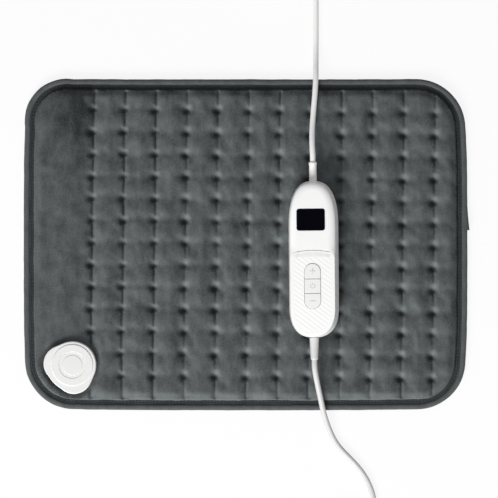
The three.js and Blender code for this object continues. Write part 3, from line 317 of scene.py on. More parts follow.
# Floor, backdrop and soft studio light
studio = {
    "floorSize": 8.0,
    "floorDrop": 0.0004,
    "floorGlow": 0.88,  # share of the floor that is plain white to the camera
    "skyStrength": 0.39,
    "lampPlace": (-0.80, -1.90, 1.60),
    "lampSize": 1.2,
    "lampPower": 73.0,
}
floorMesh = bmesh.new()
bmesh.ops.create_grid(floorMesh, x_segments=1, y_segments=1, size=studio["floorSize"] / 2)
moved(floorMesh, Matrix.Translation((0, 0, -studio["floorDrop"])))
floor = toObject("floor", floorMesh)
floorMaterial = bpy.data.materials.new("paleFloor")
floorMaterial.use_nodes = True
floorTree = floorMaterial.node_tree
floorShader = floorTree.nodes["Principled BSDF"]
floorShader.inputs["Base Color"].default_value = (0.88, 0.88, 0.88, 1)
floorShader.inputs["Roughness"].default_value = 0.9
floorShader.inputs["Specular IOR Level"].default_value = 0.0
floorGlow = addNode(floorTree, "ShaderNodeEmission", {"Color": (1, 1, 1, 1), "Strength": 1.0})


def seenDirectly(tree):  # camera, mirror and glass rays
    rays = addNode(tree, "ShaderNodeLightPath")
    seen = mathNode(tree, "MAXIMUM", rays.outputs["Is Camera Ray"], rays.outputs["Is Glossy Ray"])
    return mathNode(tree, "MAXIMUM", seen, rays.outputs["Is Transmission Ray"])


glowShare = mathNode(floorTree, "MULTIPLY", seenDirectly(floorTree), studio["floorGlow"])
floorMix = addNode(floorTree, "ShaderNodeMixShader", {0: glowShare, 1: floorShader.outputs[0],
                                                      2: floorGlow.outputs[0]})
floorTree.links.new(floorMix.outputs[0], floorTree.nodes["Material Output"].inputs["Surface"])
floor.data.materials.append(floorMaterial)

world = bpy.data.worlds.new("studioWorld")
scene.world = world
world.use_nodes = True
worldTree = world.node_tree
background = worldTree.nodes["Background"]
background.inputs["Color"].default_value = (1, 1, 1, 1)
skyLevel = spread(worldTree, seenDirectly(worldTree), 0.0, 1.0, studio["skyStrength"], 1.0)
worldTree.links.new(skyLevel, background.inputs["Strength"])

lampData = bpy.data.lights.new("softbox", "AREA")
lampData.shape = "SQUARE"
lampData.size = studio["lampSize"]
lampData.energy = studio["lampPower"]
lamp = bpy.data.objects.new("softbox", lampData)
lamp.location = studio["lampPlace"]
lamp.rotation_euler = Vector(studio["lampPlace"]).to_track_quat("Z", "Y").to_euler()
scene.collection.objects.link(lamp)
print("studio ready")

# Controller's own frame: +Y towards the mains lead, +Z out of its face
handset = {
    "place": (0.06266, -0.0136, 0.01269),
    "roll": -6.0,
    "yaw": 0.5,
    "length": 0.141,
    "width": 0.0446,
    "thickness": 0.024,
    "topTaper": 0.0417,
    "bottomTaper": 0.029,
    "taperPower": 2.5,
    "parting": 0.010,
    "gap": 0.0003,
    "edge": 0.0003,  # rounding along the parting line
    "wall": 0.002,
    "draft": 9.0,
    "bellyInset": 0.009,
    "bellyRound": 0.007,
    "cordHeight": 0.01015,
    "mainsRelief": 0.017,
    "padRelief": 0.020,
}
turnToPad = Euler((0, math.radians(handset["roll"]), math.radians(handset["yaw"]))).to_matrix().to_4x4()
handsetFrame = Matrix.Translation(handset["place"]) @ turnToPad

# Leads: the routes are listed, the coils are wound by a loop
lead = {
    "diameter": 0.005,
    "gap": 0.0003,
    "straight": 0.005,
    "hidden": 0.008,  # length of cord inside a strain relief
    "coilPitch": 0.0055,
    "coilRadius": 0.030,
    "coilBase": 0.0036,
    "stepsPerTurn": 24,
    "tailSteps": 6,
}
mainsLead = {
    "turns": 8.25,
    "layers": 4,
    "direction": 1,
    "centre": (0.02853, 0.272),
    "tailRun": 0.046,
    "plugHeight": 0.0071,
    "route": [
        (0.0603, 0.0900, 0.0216), (0.0605, 0.1044, 0.0176), (0.0615, 0.1180, 0.0148),
        (0.0626, 0.1307, 0.0137), (0.0635, 0.1425, 0.0124), (0.0640, 0.1543, 0.0100),
        (0.0641, 0.1645, 0.0064), (0.0642, 0.1788, 0.0033), (0.0642, 0.1950, 0.0027),
        (0.0642, 0.2120, 0.0027), (0.0642, 0.2320, 0.0029), (0.0642, 0.2500, 0.0035),
    ],
}
padLead = {
    "turns": 2.25,
    "layers": 2,
    "direction": -1,
    "centre": (0.08541, -0.277),
    "tailRun": 0.024,
    "plugHeight": 0.0058,
    "route": [
        (0.0630, -0.1145, 0.0220), (0.0644, -0.1223, 0.0200), (0.0663, -0.1314, 0.0168),
        (0.0684, -0.1409, 0.0136), (0.0703, -0.1496, 0.0109), (0.0727, -0.1582, 0.0080),
        (0.0758, -0.1668, 0.0054), (0.0797, -0.1756, 0.0035), (0.0840, -0.1825, 0.0028),
        (0.0886, -0.1880, 0.0027), (0.0950, -0.1945, 0.0027), (0.1015, -0.2015, 0.0027),
        (0.1080, -0.2100, 0.0027), (0.1132, -0.2200, 0.0027), (0.1168, -0.2320, 0.0027),
        (0.1184, -0.2450, 0.0029), (0.1185, -0.2580, 0.0035),
    ],
}


def coilOf(cord):
    perLayer = cord["turns"] / cord["layers"]
    outer = lead["coilRadius"] + lead["coilPitch"] * perLayer / 2
    steps = round(cord["turns"] * lead["stepsPerTurn"])
    points = []
    for i in range(steps + 1):
        turn = cord["turns"] * i / steps
        layer = min(int(turn / perLayer), cord["layers"] - 1)
        within = turn - layer * perLayer
        inward = within if layer % 2 == 0 else perLayer - within
        radius = outer - lead["coilPitch"] * inward
        reversals = [k * perLayer for k in range(1, cord["layers"])]
        climb = sum(smoothStep(at - 0.25, at + 0.25, turn) for at in reversals)
        angle = cord["direction"] * 2 * math.pi * turn
        points.append(Vector((cord["centre"][0] + radius * math.cos(angle),
                              cord["centre"][1] + radius * math.sin(angle),
                              lead["coilBase"] + lead["coilPitch"] * climb)))
    points.insert(0, points[0] - Vector((0, cord["direction"] * lead["straight"], 0)))
    points.append(points[-1] - Vector((lead["straight"], 0, 0)))
    return points


def tailOf(cord, start):
    points = []
    for i in range(1, lead["tailSteps"] + 1):
        share = i / lead["tailSteps"]
        height = mix(start.z, cord["plugHeight"], smoothStep(0.1, 0.9, share))
        points.append(Vector((start.x - cord["tailRun"] * share, start.y, height)))
    points.append(points[-1] - Vector((lead["hidden"], 0, 0)))
    return points


def layCord(name, cord, side, reliefLength):
    exitY = side * (handset["length"] / 2 + reliefLength + lead["gap"])
    alongExit = [exitY - side * lead["hidden"], exitY, exitY + side * lead["straight"]]
    start = [handsetFrame @ Vector((0, y, handset["cordHeight"])) for y in alongExit]
    coil = coilOf(cord)
    points = start + [Vector(point) for point in cord["route"]] + coil
    points += tailOf(cord, coil[-1])
    curve = bpy.data.curves.new(name, "CURVE")
    curve.dimensions = "3D"
    curve.bevel_depth = lead["diameter"] / 2
    curve.bevel_resolution = 4
    curve.resolution_u = 4
    curve.use_fill_caps = True
    spline = curve.splines.new("BEZIER")
    spline.bezier_points.add(len(points) - 1)
    for bezierPoint, point in zip(spline.bezier_points, points):
        bezierPoint.co = point
        bezierPoint.handle_left_type = "AUTO"
        bezierPoint.handle_right_type = "AUTO"
    obj = bpy.data.objects.new(name, curve)
    scene.collection.objects.link(obj)
    return obj, start[1], points


mainsCord, mainsExit, mainsPoints = layCord("mains_cord", mainsLead, 1, handset["mainsRelief"])
padCord, padExit, padPoints = layCord("pad_cord", padLead, -1, handset["padRelief"])
dress(mainsCord, whiteRubber, "pad", ["mains_lead", "mains_coil", "mains_tail"])
dress(padCord, shadedRubber, "pad", ["pad_lead", "pad_coil", "pad_tail"])
print("cords laid:", len(mainsPoints), "and", len(padPoints), "points")

# Pad outline, shared by its cover, binding and stitches
pad = {
    "length": 0.400,
    "width": 0.300,
    "corner": 0.044,
    "slowWaver": 70,
    "slowStray": 0.0005,
    "quickWaver": 190,
    "quickStray": 0.0003,
}
# How the soft pad lies: sides bowed out or in, corners pulled out or in, dying away inwards
lie = {
    "left": 0.0012,
    "right": 0.0018,
    "top": -0.0003,
    "bottom": 0.0009,
    "corners": {(-1, 1): 0.0030, (1, 1): -0.0004, (-1, -1): -0.0004, (1, -1): 0.0},
    "fade": 0.038,
}


def beyondCorners(x, y):  # how far a point lies past the corner centres
    return abs(x) - (pad["length"] / 2 - pad["corner"]), abs(y) - (pad["width"] / 2 - pad["corner"])


def padInset(x, y):
    pastX, pastY = beyondCorners(x, y)
    if pastX > 0 and pastY > 0:
        return pad["corner"] - math.hypot(pastX, pastY)
    return pad["corner"] - max(pastX, pastY)


def outwards(x, y):
    pastX, pastY = beyondCorners(x, y)
    return Vector((math.copysign(max(pastX, 0), x), math.copysign(max(pastY, 0), y), 0)).normalized()


def atInset(point, inset):
    return point + outwards(point.x, point.y) * (padInset(point.x, point.y) - inset)


def sewingWaver(point):  # how far the hand-fed edge strays
    slow = noise.noise(point * pad["slowWaver"])
    quick = noise.noise(point * pad["quickWaver"])
    return pad["slowStray"] * slow + pad["quickStray"] * quick


def settle(mesh):  # moves a finished pad piece to where the soft pad lies
    for vert in mesh.verts:
        x, y = vert.co.x, vert.co.y
        near = smoothStep(lie["fade"], 0.0, padInset(x, y))
        pastX, pastY = beyondCorners(x, y)
        if pastX > 0 and pastY > 0:
            corner = lie["corners"][math.copysign(1, x), math.copysign(1, y)]
            pull = corner * math.sin(2 * math.atan2(pastY, pastX))
        elif pastX > pastY:
            pull = lie["left" if x < 0 else "right"] * (1 - (y / (pad["width"] / 2 - pad["corner"])) ** 4)
        else:
            pull = lie["bottom" if y < 0 else "top"] * (1 - (x / (pad["length"] / 2 - pad["corner"])) ** 4)
        vert.co += outwards(x, y) * pull * near


# Pad socket: a rounded moulding with a flat disc on top, its mouth towards the pad's corner
socket = {
    "place": (-0.1563, -0.1094),
    "turn": 225.0,
    "backRadius": 0.0214,
    "cornerRadius": 0.0165,
    "front": 0.0223,
    "bow": 0.0010,
    "halfWidth": 0.0242,
    "bottom": 0.0064,
    "top": 0.0162,
    "rounding": 0.0010,
    "floor": 0.0083,
    "mouthWidth": 0.024,
    "mouthHeight": 0.006,
    "mouthDepth": 0.0135,
    "discRadius": 0.0187,
    "discTop": 0.0171,
    "ringOuter": 0.0118,
    "ringInner": 0.0092,
    "ringDepth": 0.0004,
    "edge": 0.0006,
    "lowerEdge": 0.0004,
    "discRoot": 0.0015,  # how far the disc reaches down into the shell
    "discCrown": 0.0001,
    "leastCorner": 0.001,
    "backSteps": 40,
    "cornerSteps": 12,
    "edgeSteps": 8,
    "wellInside": 0.018,
    "farAway": 0.04,
}


def socketOutline(inset):
    backRadius = socket["backRadius"] - inset
    corner = max(socket["cornerRadius"] - inset, socket["leastCorner"])
    centreX = socket["front"] - socket["cornerRadius"]
    centreY = socket["halfWidth"] - socket["cornerRadius"]
    side = math.degrees(math.atan2(centreY, centreX)
                        + math.acos((backRadius - corner) / math.hypot(centreX, centreY)))
    steps = socket["cornerSteps"]
    outline = arc(0, 0, backRadius, side, 360 - side, socket["backSteps"])
    outline += arc(centreX, -centreY, corner, -side, 0, steps)
    for i in range(1, steps):
        share = i / steps
        bow = 4 * socket["bow"] * share * (1 - share)
        outline.append((centreX + corner + bow, mix(-centreY, centreY, share)))
    outline += arc(centreX, centreY, corner, 0, side, steps)
    return outline


socketTurn = Matrix.Rotation(math.radians(socket["turn"]), 4, "Z")
socketPlace = Matrix.Translation((*socket["place"], 0)) @ socketTurn
toSocket = socketPlace.inverted()
socketEdge = [Vector(point) for point in socketOutline(0)]


def pastSocket(x, y):  # how far a point of the cover lies outside the socket
    local = (toSocket @ Vector((x, y, 0))).to_2d()
    if local.length > socket["farAway"]:
        return socket["farAway"]
    if local.length < socket["wellInside"]:
        return -socket["wellInside"]
    nearest = min(socketEdge, key=lambda point: point.angle(local))
    return local.length - nearest.length


# Quilted plush cover: puffed by a cloth run, then pinched along its stitching
quilt = {
    "turn": 0.7,  # degrees clockwise, as the cloth was sewn
    "firstColumn": -0.1384,
    "columnPitch": 0.02815,
    "cellsAcross": 16,  # grid cells from one column of tacks to the next
    "linesLeft": 37,
    "linesRight": 194,
    "firstRow": 0.1209,
    "rowPitch": 0.02005,
    "cellsDown": 10,
    "linesAbove": 16,
    "linesBelow": 137,
    "lastColumn": 11,
    "lastRow": 12,
    "creasedColumns": 3,
    "base": 0.0049,
    "edge": 0.0095,  # inset of the line where the field begins
    "edgeLoft": 0.0031,
    "edgeRise": 0.0070,
    "panelLoft": 0.0046,
    "socketLoft": 0.0012,
    "crownLoft": 0.0060,
    "columnDrop": 0.0019,
    "columnReach": 0.0062,
    "rowDrop": 0.0006,
    "rowFullness": 1.15,
    "panelBlend": 0.35,  # in column pitches
    "ripple": 0.0003,
    "slowRipple": 60,
    "quickRipple": 150,
    "socketSeat": (0.0004, 0.0050),  # the cover rises from the socket's edge between these
    "rimHold": 0.0012,
    "socketHold": 0.0010,
    "deepHold": 0.6,
    "lightHold": 0.25,
    "ceiling": 0.0111,
    "floor": 0.0055,
    "frames": 20,
    "pressure": 3.0,
    "spare": 0.010,  # extra cloth, which goes into small wrinkles
    "mostMove": 0.0015,
    "panelMove": 0.35,  # share of the wrinkles kept on the plain panel
    "panelFade": 0.4,
    "softening": 12,  # passes that soften the wrinkles before the stitching is drawn in
}
pinch = {
    "tackDepth": 0.0034,
    "tackReachX": 0.0017,
    "tackReachY": 0.0024,
    "leftReach": 1.8,  # the tacks draw in more cloth to their left
    "creaseDepth": 0.0016,
    "creaseReach": 0.0010,
    "deepCrease": 0.0024,
    "rightReach": 1.7,  # the deep creases slope off more slowly to the right
    "shift": 0.0006,  # how far a tack may lie off its place
    "firmness": (0.75, 1.2),
    "fadeAlong": (0.15, 0.75),  # a crease fades between these shares of the way to the next tack
    "deepFade": 0.75,
    "lightFade": 0.25,
    # painted shade at the tacks, along the creases and round the rim
    "tackShade": 0.2,
    "deepShade": 0.45,
    "lightShade": 0.3,
    "rimClear": 0.0020,
    "socketClear": (0.0010, 0.0050),
    "rimShade": 0.3,
}
clothRun = {
    "quality": 6,
    "mass": 0.0006,
    "tension_stiffness": 12,
    "compression_stiffness": 12,
    "shear_stiffness": 5,
    "bending_stiffness": 0.04,
}
sewnTurn = math.radians(quilt["turn"])
tackShift = {}
for column in range(-1, quilt["lastColumn"] + 2):
    for row in range(-2, quilt["lastRow"] + 3):
        offX = random.uniform(-1, 1)
        offY = random.uniform(-1, 1)
        tackShift[column, row] = Vector((offX, offY, random.uniform(*pinch["firmness"])))


def quiltPlace(x, y):  # place in columns and rows of tacks
    acrossCloth = x * math.cos(sewnTurn) - y * math.sin(sewnTurn)
    upCloth = x * math.sin(sewnTurn) + y * math.cos(sewnTurn)
    columns = (acrossCloth - quilt["firstColumn"]) / quilt["columnPitch"]
    rows = (quilt["firstRow"] - upCloth) / quilt["rowPitch"]
    return columns, rows


def quiltLoft(x, y):
    column, row = quiltPlace(x, y)
    fromColumn = abs(column - round(column)) * quilt["columnPitch"]
    inRow = abs(math.sin(math.pi * row)) ** quilt["rowFullness"]
    sag = quilt["columnDrop"] * math.exp(-fromColumn / quilt["columnReach"])
    loft = quilt["crownLoft"] - sag - quilt["rowDrop"] * (1 - inRow)
    if column < 0:
        plain = smoothStep(0.0, quilt["panelBlend"], -column)
        return mix(quilt["crownLoft"] - sag, quilt["panelLoft"], plain)
    return loft


def quiltHeight(x, y):
    share = min(max((padInset(x, y) - quilt["edge"]) / quilt["edgeRise"], 0.0), 1.0)
    rise = math.sin(share * math.pi / 2)
    slow = noise.noise(Vector((x * quilt["slowRipple"], y * quilt["slowRipple"], 0.3)))
    quick = noise.noise(Vector((x * quilt["quickRipple"], y * quilt["quickRipple"], 4.1)))
    loft = quiltLoft(x, y) + quilt["ripple"] * (slow + 0.5 * quick)
    free = smoothStep(*quilt["socketSeat"], pastSocket(x, y))
    return quilt["base"] + mix(quilt["edgeLoft"], mix(quilt["socketLoft"], loft, free), rise)


def coverGrid():
    stepX = quilt["columnPitch"] / quilt["cellsAcross"]
    stepY = quilt["rowPitch"] / quilt["cellsDown"]
    countX = quilt["linesLeft"] + quilt["linesRight"]
    countY = quilt["linesAbove"] + quilt["linesBelow"]
    bm = bmesh.new()
    bmesh.ops.create_grid(bm, x_segments=countX, y_segments=countY, size=0.5)
    middleX = quilt["firstColumn"] + (quilt["linesRight"] - quilt["linesLeft"]) * stepX / 2
    middleY = quilt["firstRow"] - (quilt["linesBelow"] - quilt["linesAbove"]) * stepY / 2
    size = Matrix.Diagonal((countX * stepX, countY * stepY, 1, 1))
    moved(bm, Matrix.Rotation(-sewnTurn, 4, "Z") @ Matrix.Translation((middleX, middleY, 0)) @ size)
    outside = [vert for vert in bm.verts if padInset(vert.co.x, vert.co.y) < quilt["edge"]]
    bmesh.ops.delete(bm, geom=outside, context="VERTS")
    for vert in bm.verts:
        if vert.is_boundary:
            vert.co = atInset(vert.co, quilt["edge"])
        vert.co.z = quiltHeight(vert.co.x, vert.co.y)
    return bm


def tackStrength(x, y):  # how firmly the stitching holds a point of the cover
    if padInset(x, y) < quilt["edge"] + quilt["rimHold"] or pastSocket(x, y) < quilt["socketHold"]:
        return 1.0
    column, row = quiltPlace(x, y)
    onColumn = abs(column - round(column)) * quilt["cellsAcross"] < 0.5
    onRow = abs(row - round(row)) * quilt["cellsDown"] < 0.5
    if not onColumn or not 0 <= round(column) <= quilt["lastColumn"]:
        return 0.0
    if onRow and 0 <= round(row) <= quilt["lastRow"]:
        return 1.0
    return quilt["deepHold"] if round(column) < quilt["creasedColumns"] else quilt["lightHold"]


def puffUp(obj):
    start = [vert.co.copy() for vert in obj.data.vertices]
    held = obj.vertex_groups.new(name="stitching")
    for i, point in enumerate(start):
        strength = tackStrength(point.x, point.y)
        if strength > 0:
            held.add([i], strength, "REPLACE")
    cloth = obj.modifiers.new("puffUp", "CLOTH")
    settings = cloth.settings
    for label, value in clothRun.items():
        setattr(settings, label, value)
    settings.use_pressure = True
    settings.uniform_pressure_force = quilt["pressure"]
    settings.shrink_min = -quilt["spare"]
    settings.effector_weights.gravity = 0
    settings.vertex_group_mass = "stitching"
    cloth.collision_settings.use_collision = False
    cloth.point_cache.frame_end = quilt["frames"]
    for number in range(1, quilt["frames"] + 1):
        scene.frame_set(number)
    bakeModifiers(obj)
    obj.vertex_groups.clear()
    scene.frame_set(1)
    for vert, point in zip(obj.data.vertices, start):
        onPanel = smoothStep(0.0, quilt["panelFade"], -quiltPlace(point.x, point.y)[0])
        move = (vert.co - point) * mix(1.0, quilt["panelMove"], onPanel)
        vert.co = point + move * min(1.0, quilt["mostMove"] / max(move.length, 1e-9))


def pinchAt(x, y):  # depth drawn in by tacks and creases, and the painted shade in them
    column, row = quiltPlace(x, y)
    nearColumn = min(max(round(column), 0), quilt["lastColumn"])
    rowAbove = min(max(math.floor(row), -1), quilt["lastRow"])
    along = min(max(row - rowAbove, 0.0), 1.0)
    upper = tackShift[nearColumn, rowAbove]
    lower = tackShift[nearColumn, rowAbove + 1]
    lineX = (column - nearColumn) * quilt["columnPitch"] - pinch["shift"] * mix(upper.x, lower.x, along)
    depth = 0.0
    for tackRow in (rowAbove, rowAbove + 1):
        if 0 <= tackRow <= quilt["lastRow"]:
            tack = tackShift[nearColumn, tackRow]
            offX = (column - nearColumn) * quilt["columnPitch"] - pinch["shift"] * tack.x
            offY = (row - tackRow) * quilt["rowPitch"] + pinch["shift"] * tack.y
            reachX = pinch["tackReachX"] * (pinch["leftReach"] if offX < 0 else 1.0)
            away = (offX / reachX) ** 2 + (offY / pinch["tackReachY"]) ** 2
            depth = max(depth, pinch["tackDepth"] * tack.z * math.exp(-away / 2))
    beyondTacks = not 0 <= rowAbove < quilt["lastRow"]
    deep = nearColumn < quilt["creasedColumns"]
    faded = pinch["deepFade"] if deep or beyondTacks else pinch["lightFade"]
    fade = mix(1.0, faded, smoothStep(*pinch["fadeAlong"], along))
    creaseDepth = pinch["deepCrease"] if deep else pinch["creaseDepth"] * upper.z
    creaseReach = pinch["creaseReach"] * (pinch["rightReach"] if deep and lineX > 0 else 1.0)
    close = fade * math.exp(-abs(lineX) / creaseReach)
    tackShade = pinch["tackShade"] * min(depth / pinch["tackDepth"], 1.0)
    creaseShade = pinch["deepShade" if deep else "lightShade"] * close
    return max(depth, creaseDepth * close), max(tackShade, creaseShade)


# Painted light and shade on the pile: slopes facing the heading, roughly towards the lamp, are painted
# lighter and slopes facing away darker, and a painted shadow lies on the plain panel
paintedShading = {
    "heading": (-0.56, -0.83, 0.0),
    "toLight": 0.9,
    "toDark": 0.55,
    # painted shadow on the plain panel: a little all over and deepest in a patch near its top-left
    "panelShade": 0.04,
    "panelFade": 0.12,
    "shadowPatch": 0.24,
    "shadowMiddle": (-0.152, 0.125),
    "shadowReach": (0.022, 0.045),
}
# The cover's edge, turned down into the stitched groove beside the tape: inset, height and painted shade in
# the groove
coverRim = [(0.0092, 0.0064, 0.5), (0.0088, 0.0058, 0.9), (0.0083, 0.0057, 0.9), (0.0077, 0.0060, 0.75),
            (0.0071, 0.0057, 1.0), (0.0065, 0.0056, 1.0), (0.0058, 0.0058, 0.8), (0.0052, 0.0057, 0.7),
            (0.0046, 0.0055, 0.7), (0.0030, 0.0054, 0.7)]

cover = toObject("quilted_cover", coverGrid())
puffUp(cover)
finer = cover.modifiers.new("finer", "SUBSURF")
finer.levels = 1
finer.render_levels = 1
bakeModifiers(cover)
coverMesh = bmesh.new()
coverMesh.from_mesh(cover.data)
loose = [vert for vert in coverMesh.verts if not vert.is_boundary]
for _ in range(quilt["softening"]):
    bmesh.ops.smooth_vert(coverMesh, verts=loose, factor=0.5, use_axis_z=True)
# painted shade kept as a mesh attribute: at the tacks, along the creases and in the groove at the rim
shadowLayer = coverMesh.verts.layers.float.new("seam")
for vert in coverMesh.verts:
    if vert.is_boundary:
        vert.co = atInset(vert.co, quilt["edge"] + sewingWaver(vert.co))
        vert.co.z = quilt["base"] + quilt["edgeLoft"]
        vert[shadowLayer] = pinch["rimShade"]
        continue
    inward = smoothStep(0.0, pinch["rimClear"], padInset(vert.co.x, vert.co.y) - quilt["edge"])
    inward *= smoothStep(*pinch["socketClear"], pastSocket(vert.co.x, vert.co.y))
    drawn, shown = pinchAt(vert.co.x, vert.co.y)
    vert.co.z = min(max(vert.co.z - drawn * inward, quilt["floor"]), quilt["ceiling"])
    vert[shadowLayer] = mix(pinch["rimShade"], shown, inward)
rimEdges = [edge for edge in coverMesh.edges if edge.is_boundary]
for inset, height, seam in coverRim:
    grown = bmesh.ops.extrude_edge_only(coverMesh, edges=rimEdges)["geom"]
    rimEdges = [item for item in grown if isinstance(item, bmesh.types.BMEdge)]
    for item in grown:
        if isinstance(item, bmesh.types.BMVert):
            item.co = atInset(item.co, inset + sewingWaver(item.co))
            item.co.z = height
            item[shadowLayer] = seam
coverMesh.normal_update()
# painted light and shade kept as a mesh attribute: lighter where the surface faces the lamp, darker where it
# faces away, and a painted shadow on the plain panel
shadingLayer = coverMesh.verts.layers.float.new("lean")
for vert in coverMesh.verts:
    offX = (vert.co.x - paintedShading["shadowMiddle"][0]) / paintedShading["shadowReach"][0]
    offY = (vert.co.y - paintedShading["shadowMiddle"][1]) / paintedShading["shadowReach"][1]
    darker = paintedShading["panelShade"] + paintedShading["shadowPatch"] * math.exp(-offX ** 2 - offY ** 2)
    onPanel = smoothStep(0.0, paintedShading["panelFade"], -quiltPlace(vert.co.x, vert.co.y)[0])
    lean = vert.normal.dot(Vector(paintedShading["heading"]))
    vert[shadingLayer] = lean * paintedShading["toLight" if lean > 0 else "toDark"] - darker * onPanel
lowered = bmesh.ops.extrude_edge_only(coverMesh, edges=rimEdges)["geom"]
for item in lowered:
    if isinstance(item, bmesh.types.BMVert):
        item.co.z = quilt["base"]
bmesh.ops.edgeloop_fill(coverMesh, edges=[item for item in lowered if isinstance(item, bmesh.types.BMEdge)])
bmesh.ops.recalc_face_normals(coverMesh, faces=coverMesh.faces)
settle(coverMesh)
coverMesh.to_mesh(cover.data)
coverMesh.free()
dress(cover, plush, "pad", ["front_cover"], 80)
print("cover quilted:", len(cover.data.polygons), "faces")

# Binding tape: a folded strip round the rim, run along the sides and spun round the corners
binding = {
    "reach": 0.0049,
    "lowerReach": 0.0064,
    "height": 0.0074,
    "tape": 0.0010,
    "round": 0.0026,
    "lipHeight": 0.0060,
    "lipThick": 0.0005,
    "sideStep": 0.004,
    "cornerSteps": 18,
    "waviness": 0.00022,
    "slowWave": 85,
    "quickWave": 240,
    "quickShare": 0.6,
    "lipSteps": 6,
    "roundSteps": 7,
}


def tapeProfile(grow=0.0):  # (inset, height) pairs from the upper lip round the outside to the lower lip
    high = binding["height"] + grow
    turn = binding["round"]
    crown = turn - grow
    lip = []
    for i in range(binding["lipSteps"]):
        angle = math.pi / 2 * i / binding["lipSteps"]
        lip.append((mix(crown, binding["reach"], math.cos(angle)),
                    mix(binding["lipHeight"] + grow, high, math.sin(angle))))
    upper = arc(crown, high - turn, turn, 90, 180, binding["roundSteps"])
    lower = arc(crown, turn, turn, 180, 270, binding["roundSteps"])
    return [*lip, *upper, *lower, (binding["lowerReach"], 0.0)]


def tapeRing():
    inner = binding["tape"]
    under = binding["lipHeight"] - binding["lipThick"]
    inside = [(binding["lowerReach"], inner), (inner, inner), (inner, under), (binding["reach"], under)]
    return tapeProfile() + inside


def runTape():
    halfX = pad["length"] / 2 - pad["corner"]
    halfY = pad["width"] / 2 - pad["corner"]
    bm = bmesh.new()
    verts = [bm.verts.new((-halfX, inset - pad["width"] / 2, height)) for inset, height in tapeRing()]
    front = [bm.edges.new(pair) for pair in zip(verts, verts[1:] + verts[:1])]
    sides = [((1, 0, 0), 2 * halfX, (halfX, -halfY)), ((0, 1, 0), 2 * halfY, (halfX, halfY)),
             ((-1, 0, 0), 2 * halfX, (-halfX, halfY)), ((0, -1, 0), 2 * halfY, (-halfX, -halfY))]
    for heading, length, corner in sides:
        steps = round(length / binding["sideStep"])
        along = bmesh.ops.spin(bm, geom=front, cent=(0, 0, 0), axis=(0, 0, 1), angle=0,
                               dvec=Vector(heading) * length / steps, steps=steps)["geom_last"]
        front = [item for item in along if isinstance(item, bmesh.types.BMEdge)]
        round90 = bmesh.ops.spin(bm, geom=front, cent=(*corner, 0), axis=(0, 0, 1), angle=math.pi / 2,
                                 dvec=(0, 0, 0), steps=binding["cornerSteps"])["geom_last"]
        front = [item for item in round90 if isinstance(item, bmesh.types.BMEdge)]
    bmesh.ops.remove_doubles(bm, verts=bm.verts, dist=1e-6)
    bmesh.ops.recalc_face_normals(bm, faces=bm.faces)
    return bm


tapeMesh = runTape()
for vert in tapeMesh.verts:
    slow = noise.noise_vector(vert.co * binding["slowWave"])
    quick = noise.noise_vector(vert.co * binding["quickWave"])
    if vert.co.z > binding["tape"] * 1.5:  # the underside stays flat
        vert.co += (slow + binding["quickShare"] * quick) * binding["waviness"]
settle(tapeMesh)
tape = toObject("binding_tape", tapeMesh)
dress(tape, bindingTape, "pad", ["edge_binding"], 60)
print("binding run:", len(tape.data.polygons), "faces")

# Folded end of the tape: thick at its cut edge, thinning away along the side
lap = {
    "cutEnd": 0.0127,
    "farEnd": 0.0345,
    "steps": 14,
    "thick": 0.0017,
    "thinning": 1.3,
    "outside": 0.00006,  # least distance of its outer and inner face from the tape
    "inside": 0.00002,
}
lapRings = []
for i in range(lap["steps"] + 1):
    share = i / lap["steps"]
    y = mix(lap["cutEnd"], lap["farEnd"], share)
    outer = tapeProfile(lap["outside"] + lap["thick"] * (1 - share) ** lap["thinning"])
    inner = tapeProfile(lap["inside"])
    ring = outer + inner[::-1]
    lapRings.append([Vector((pad["length"] / 2 - inset, y, height)) for inset, height in ring])
lapMesh = raiseRings(lapRings)
settle(lapMesh)
tapeLap = toObject("tape_lap", lapMesh)
dress(tapeLap, bindingTape, "pad", ["binding_lap"], 60)

# Stitches: two rows of short threads, one on the tape's lip and one in the groove beside it
stitches = {
    "pitch": 0.0031,
    "length": 0.0024,
    "width": 0.00042,
    "flatness": 0.8,
    "rows": [(0.0067, 0.0059), (0.0085, 0.0059)],  # inset and height of each row
    "sway": 0.10,
    "lift": 0.00006,
}


def alongOutline(inset, distance):  # point and heading at a distance round the outline
    halfX = pad["length"] / 2 - pad["corner"]
    halfY = pad["width"] / 2 - pad["corner"]
    radius = pad["corner"] - inset
    quarter = radius * math.pi / 2
    legs = [(2 * halfX, (-halfX, -halfY), 0), (2 * halfY, (halfX, -halfY), 90),
            (2 * halfX, (halfX, halfY), 180), (2 * halfY, (-halfX, halfY), 270)]
    for length, (cornerX, cornerY), heading in legs:
        ahead = Vector((math.cos(math.radians(heading)), math.sin(math.radians(heading)), 0))
        right = Vector((ahead.y, -ahead.x, 0))
        if distance <= length:
            return Vector((cornerX, cornerY, 0)) + ahead * distance + right * radius, math.radians(heading)
        distance -= length
        if distance <= quarter:
            turn = distance / radius
            centre = Vector((cornerX, cornerY, 0)) + ahead * length
            bent = Matrix.Rotation(turn, 3, "Z") @ right
            return centre + bent * radius, math.radians(heading) + turn
        distance -= quarter
    return None


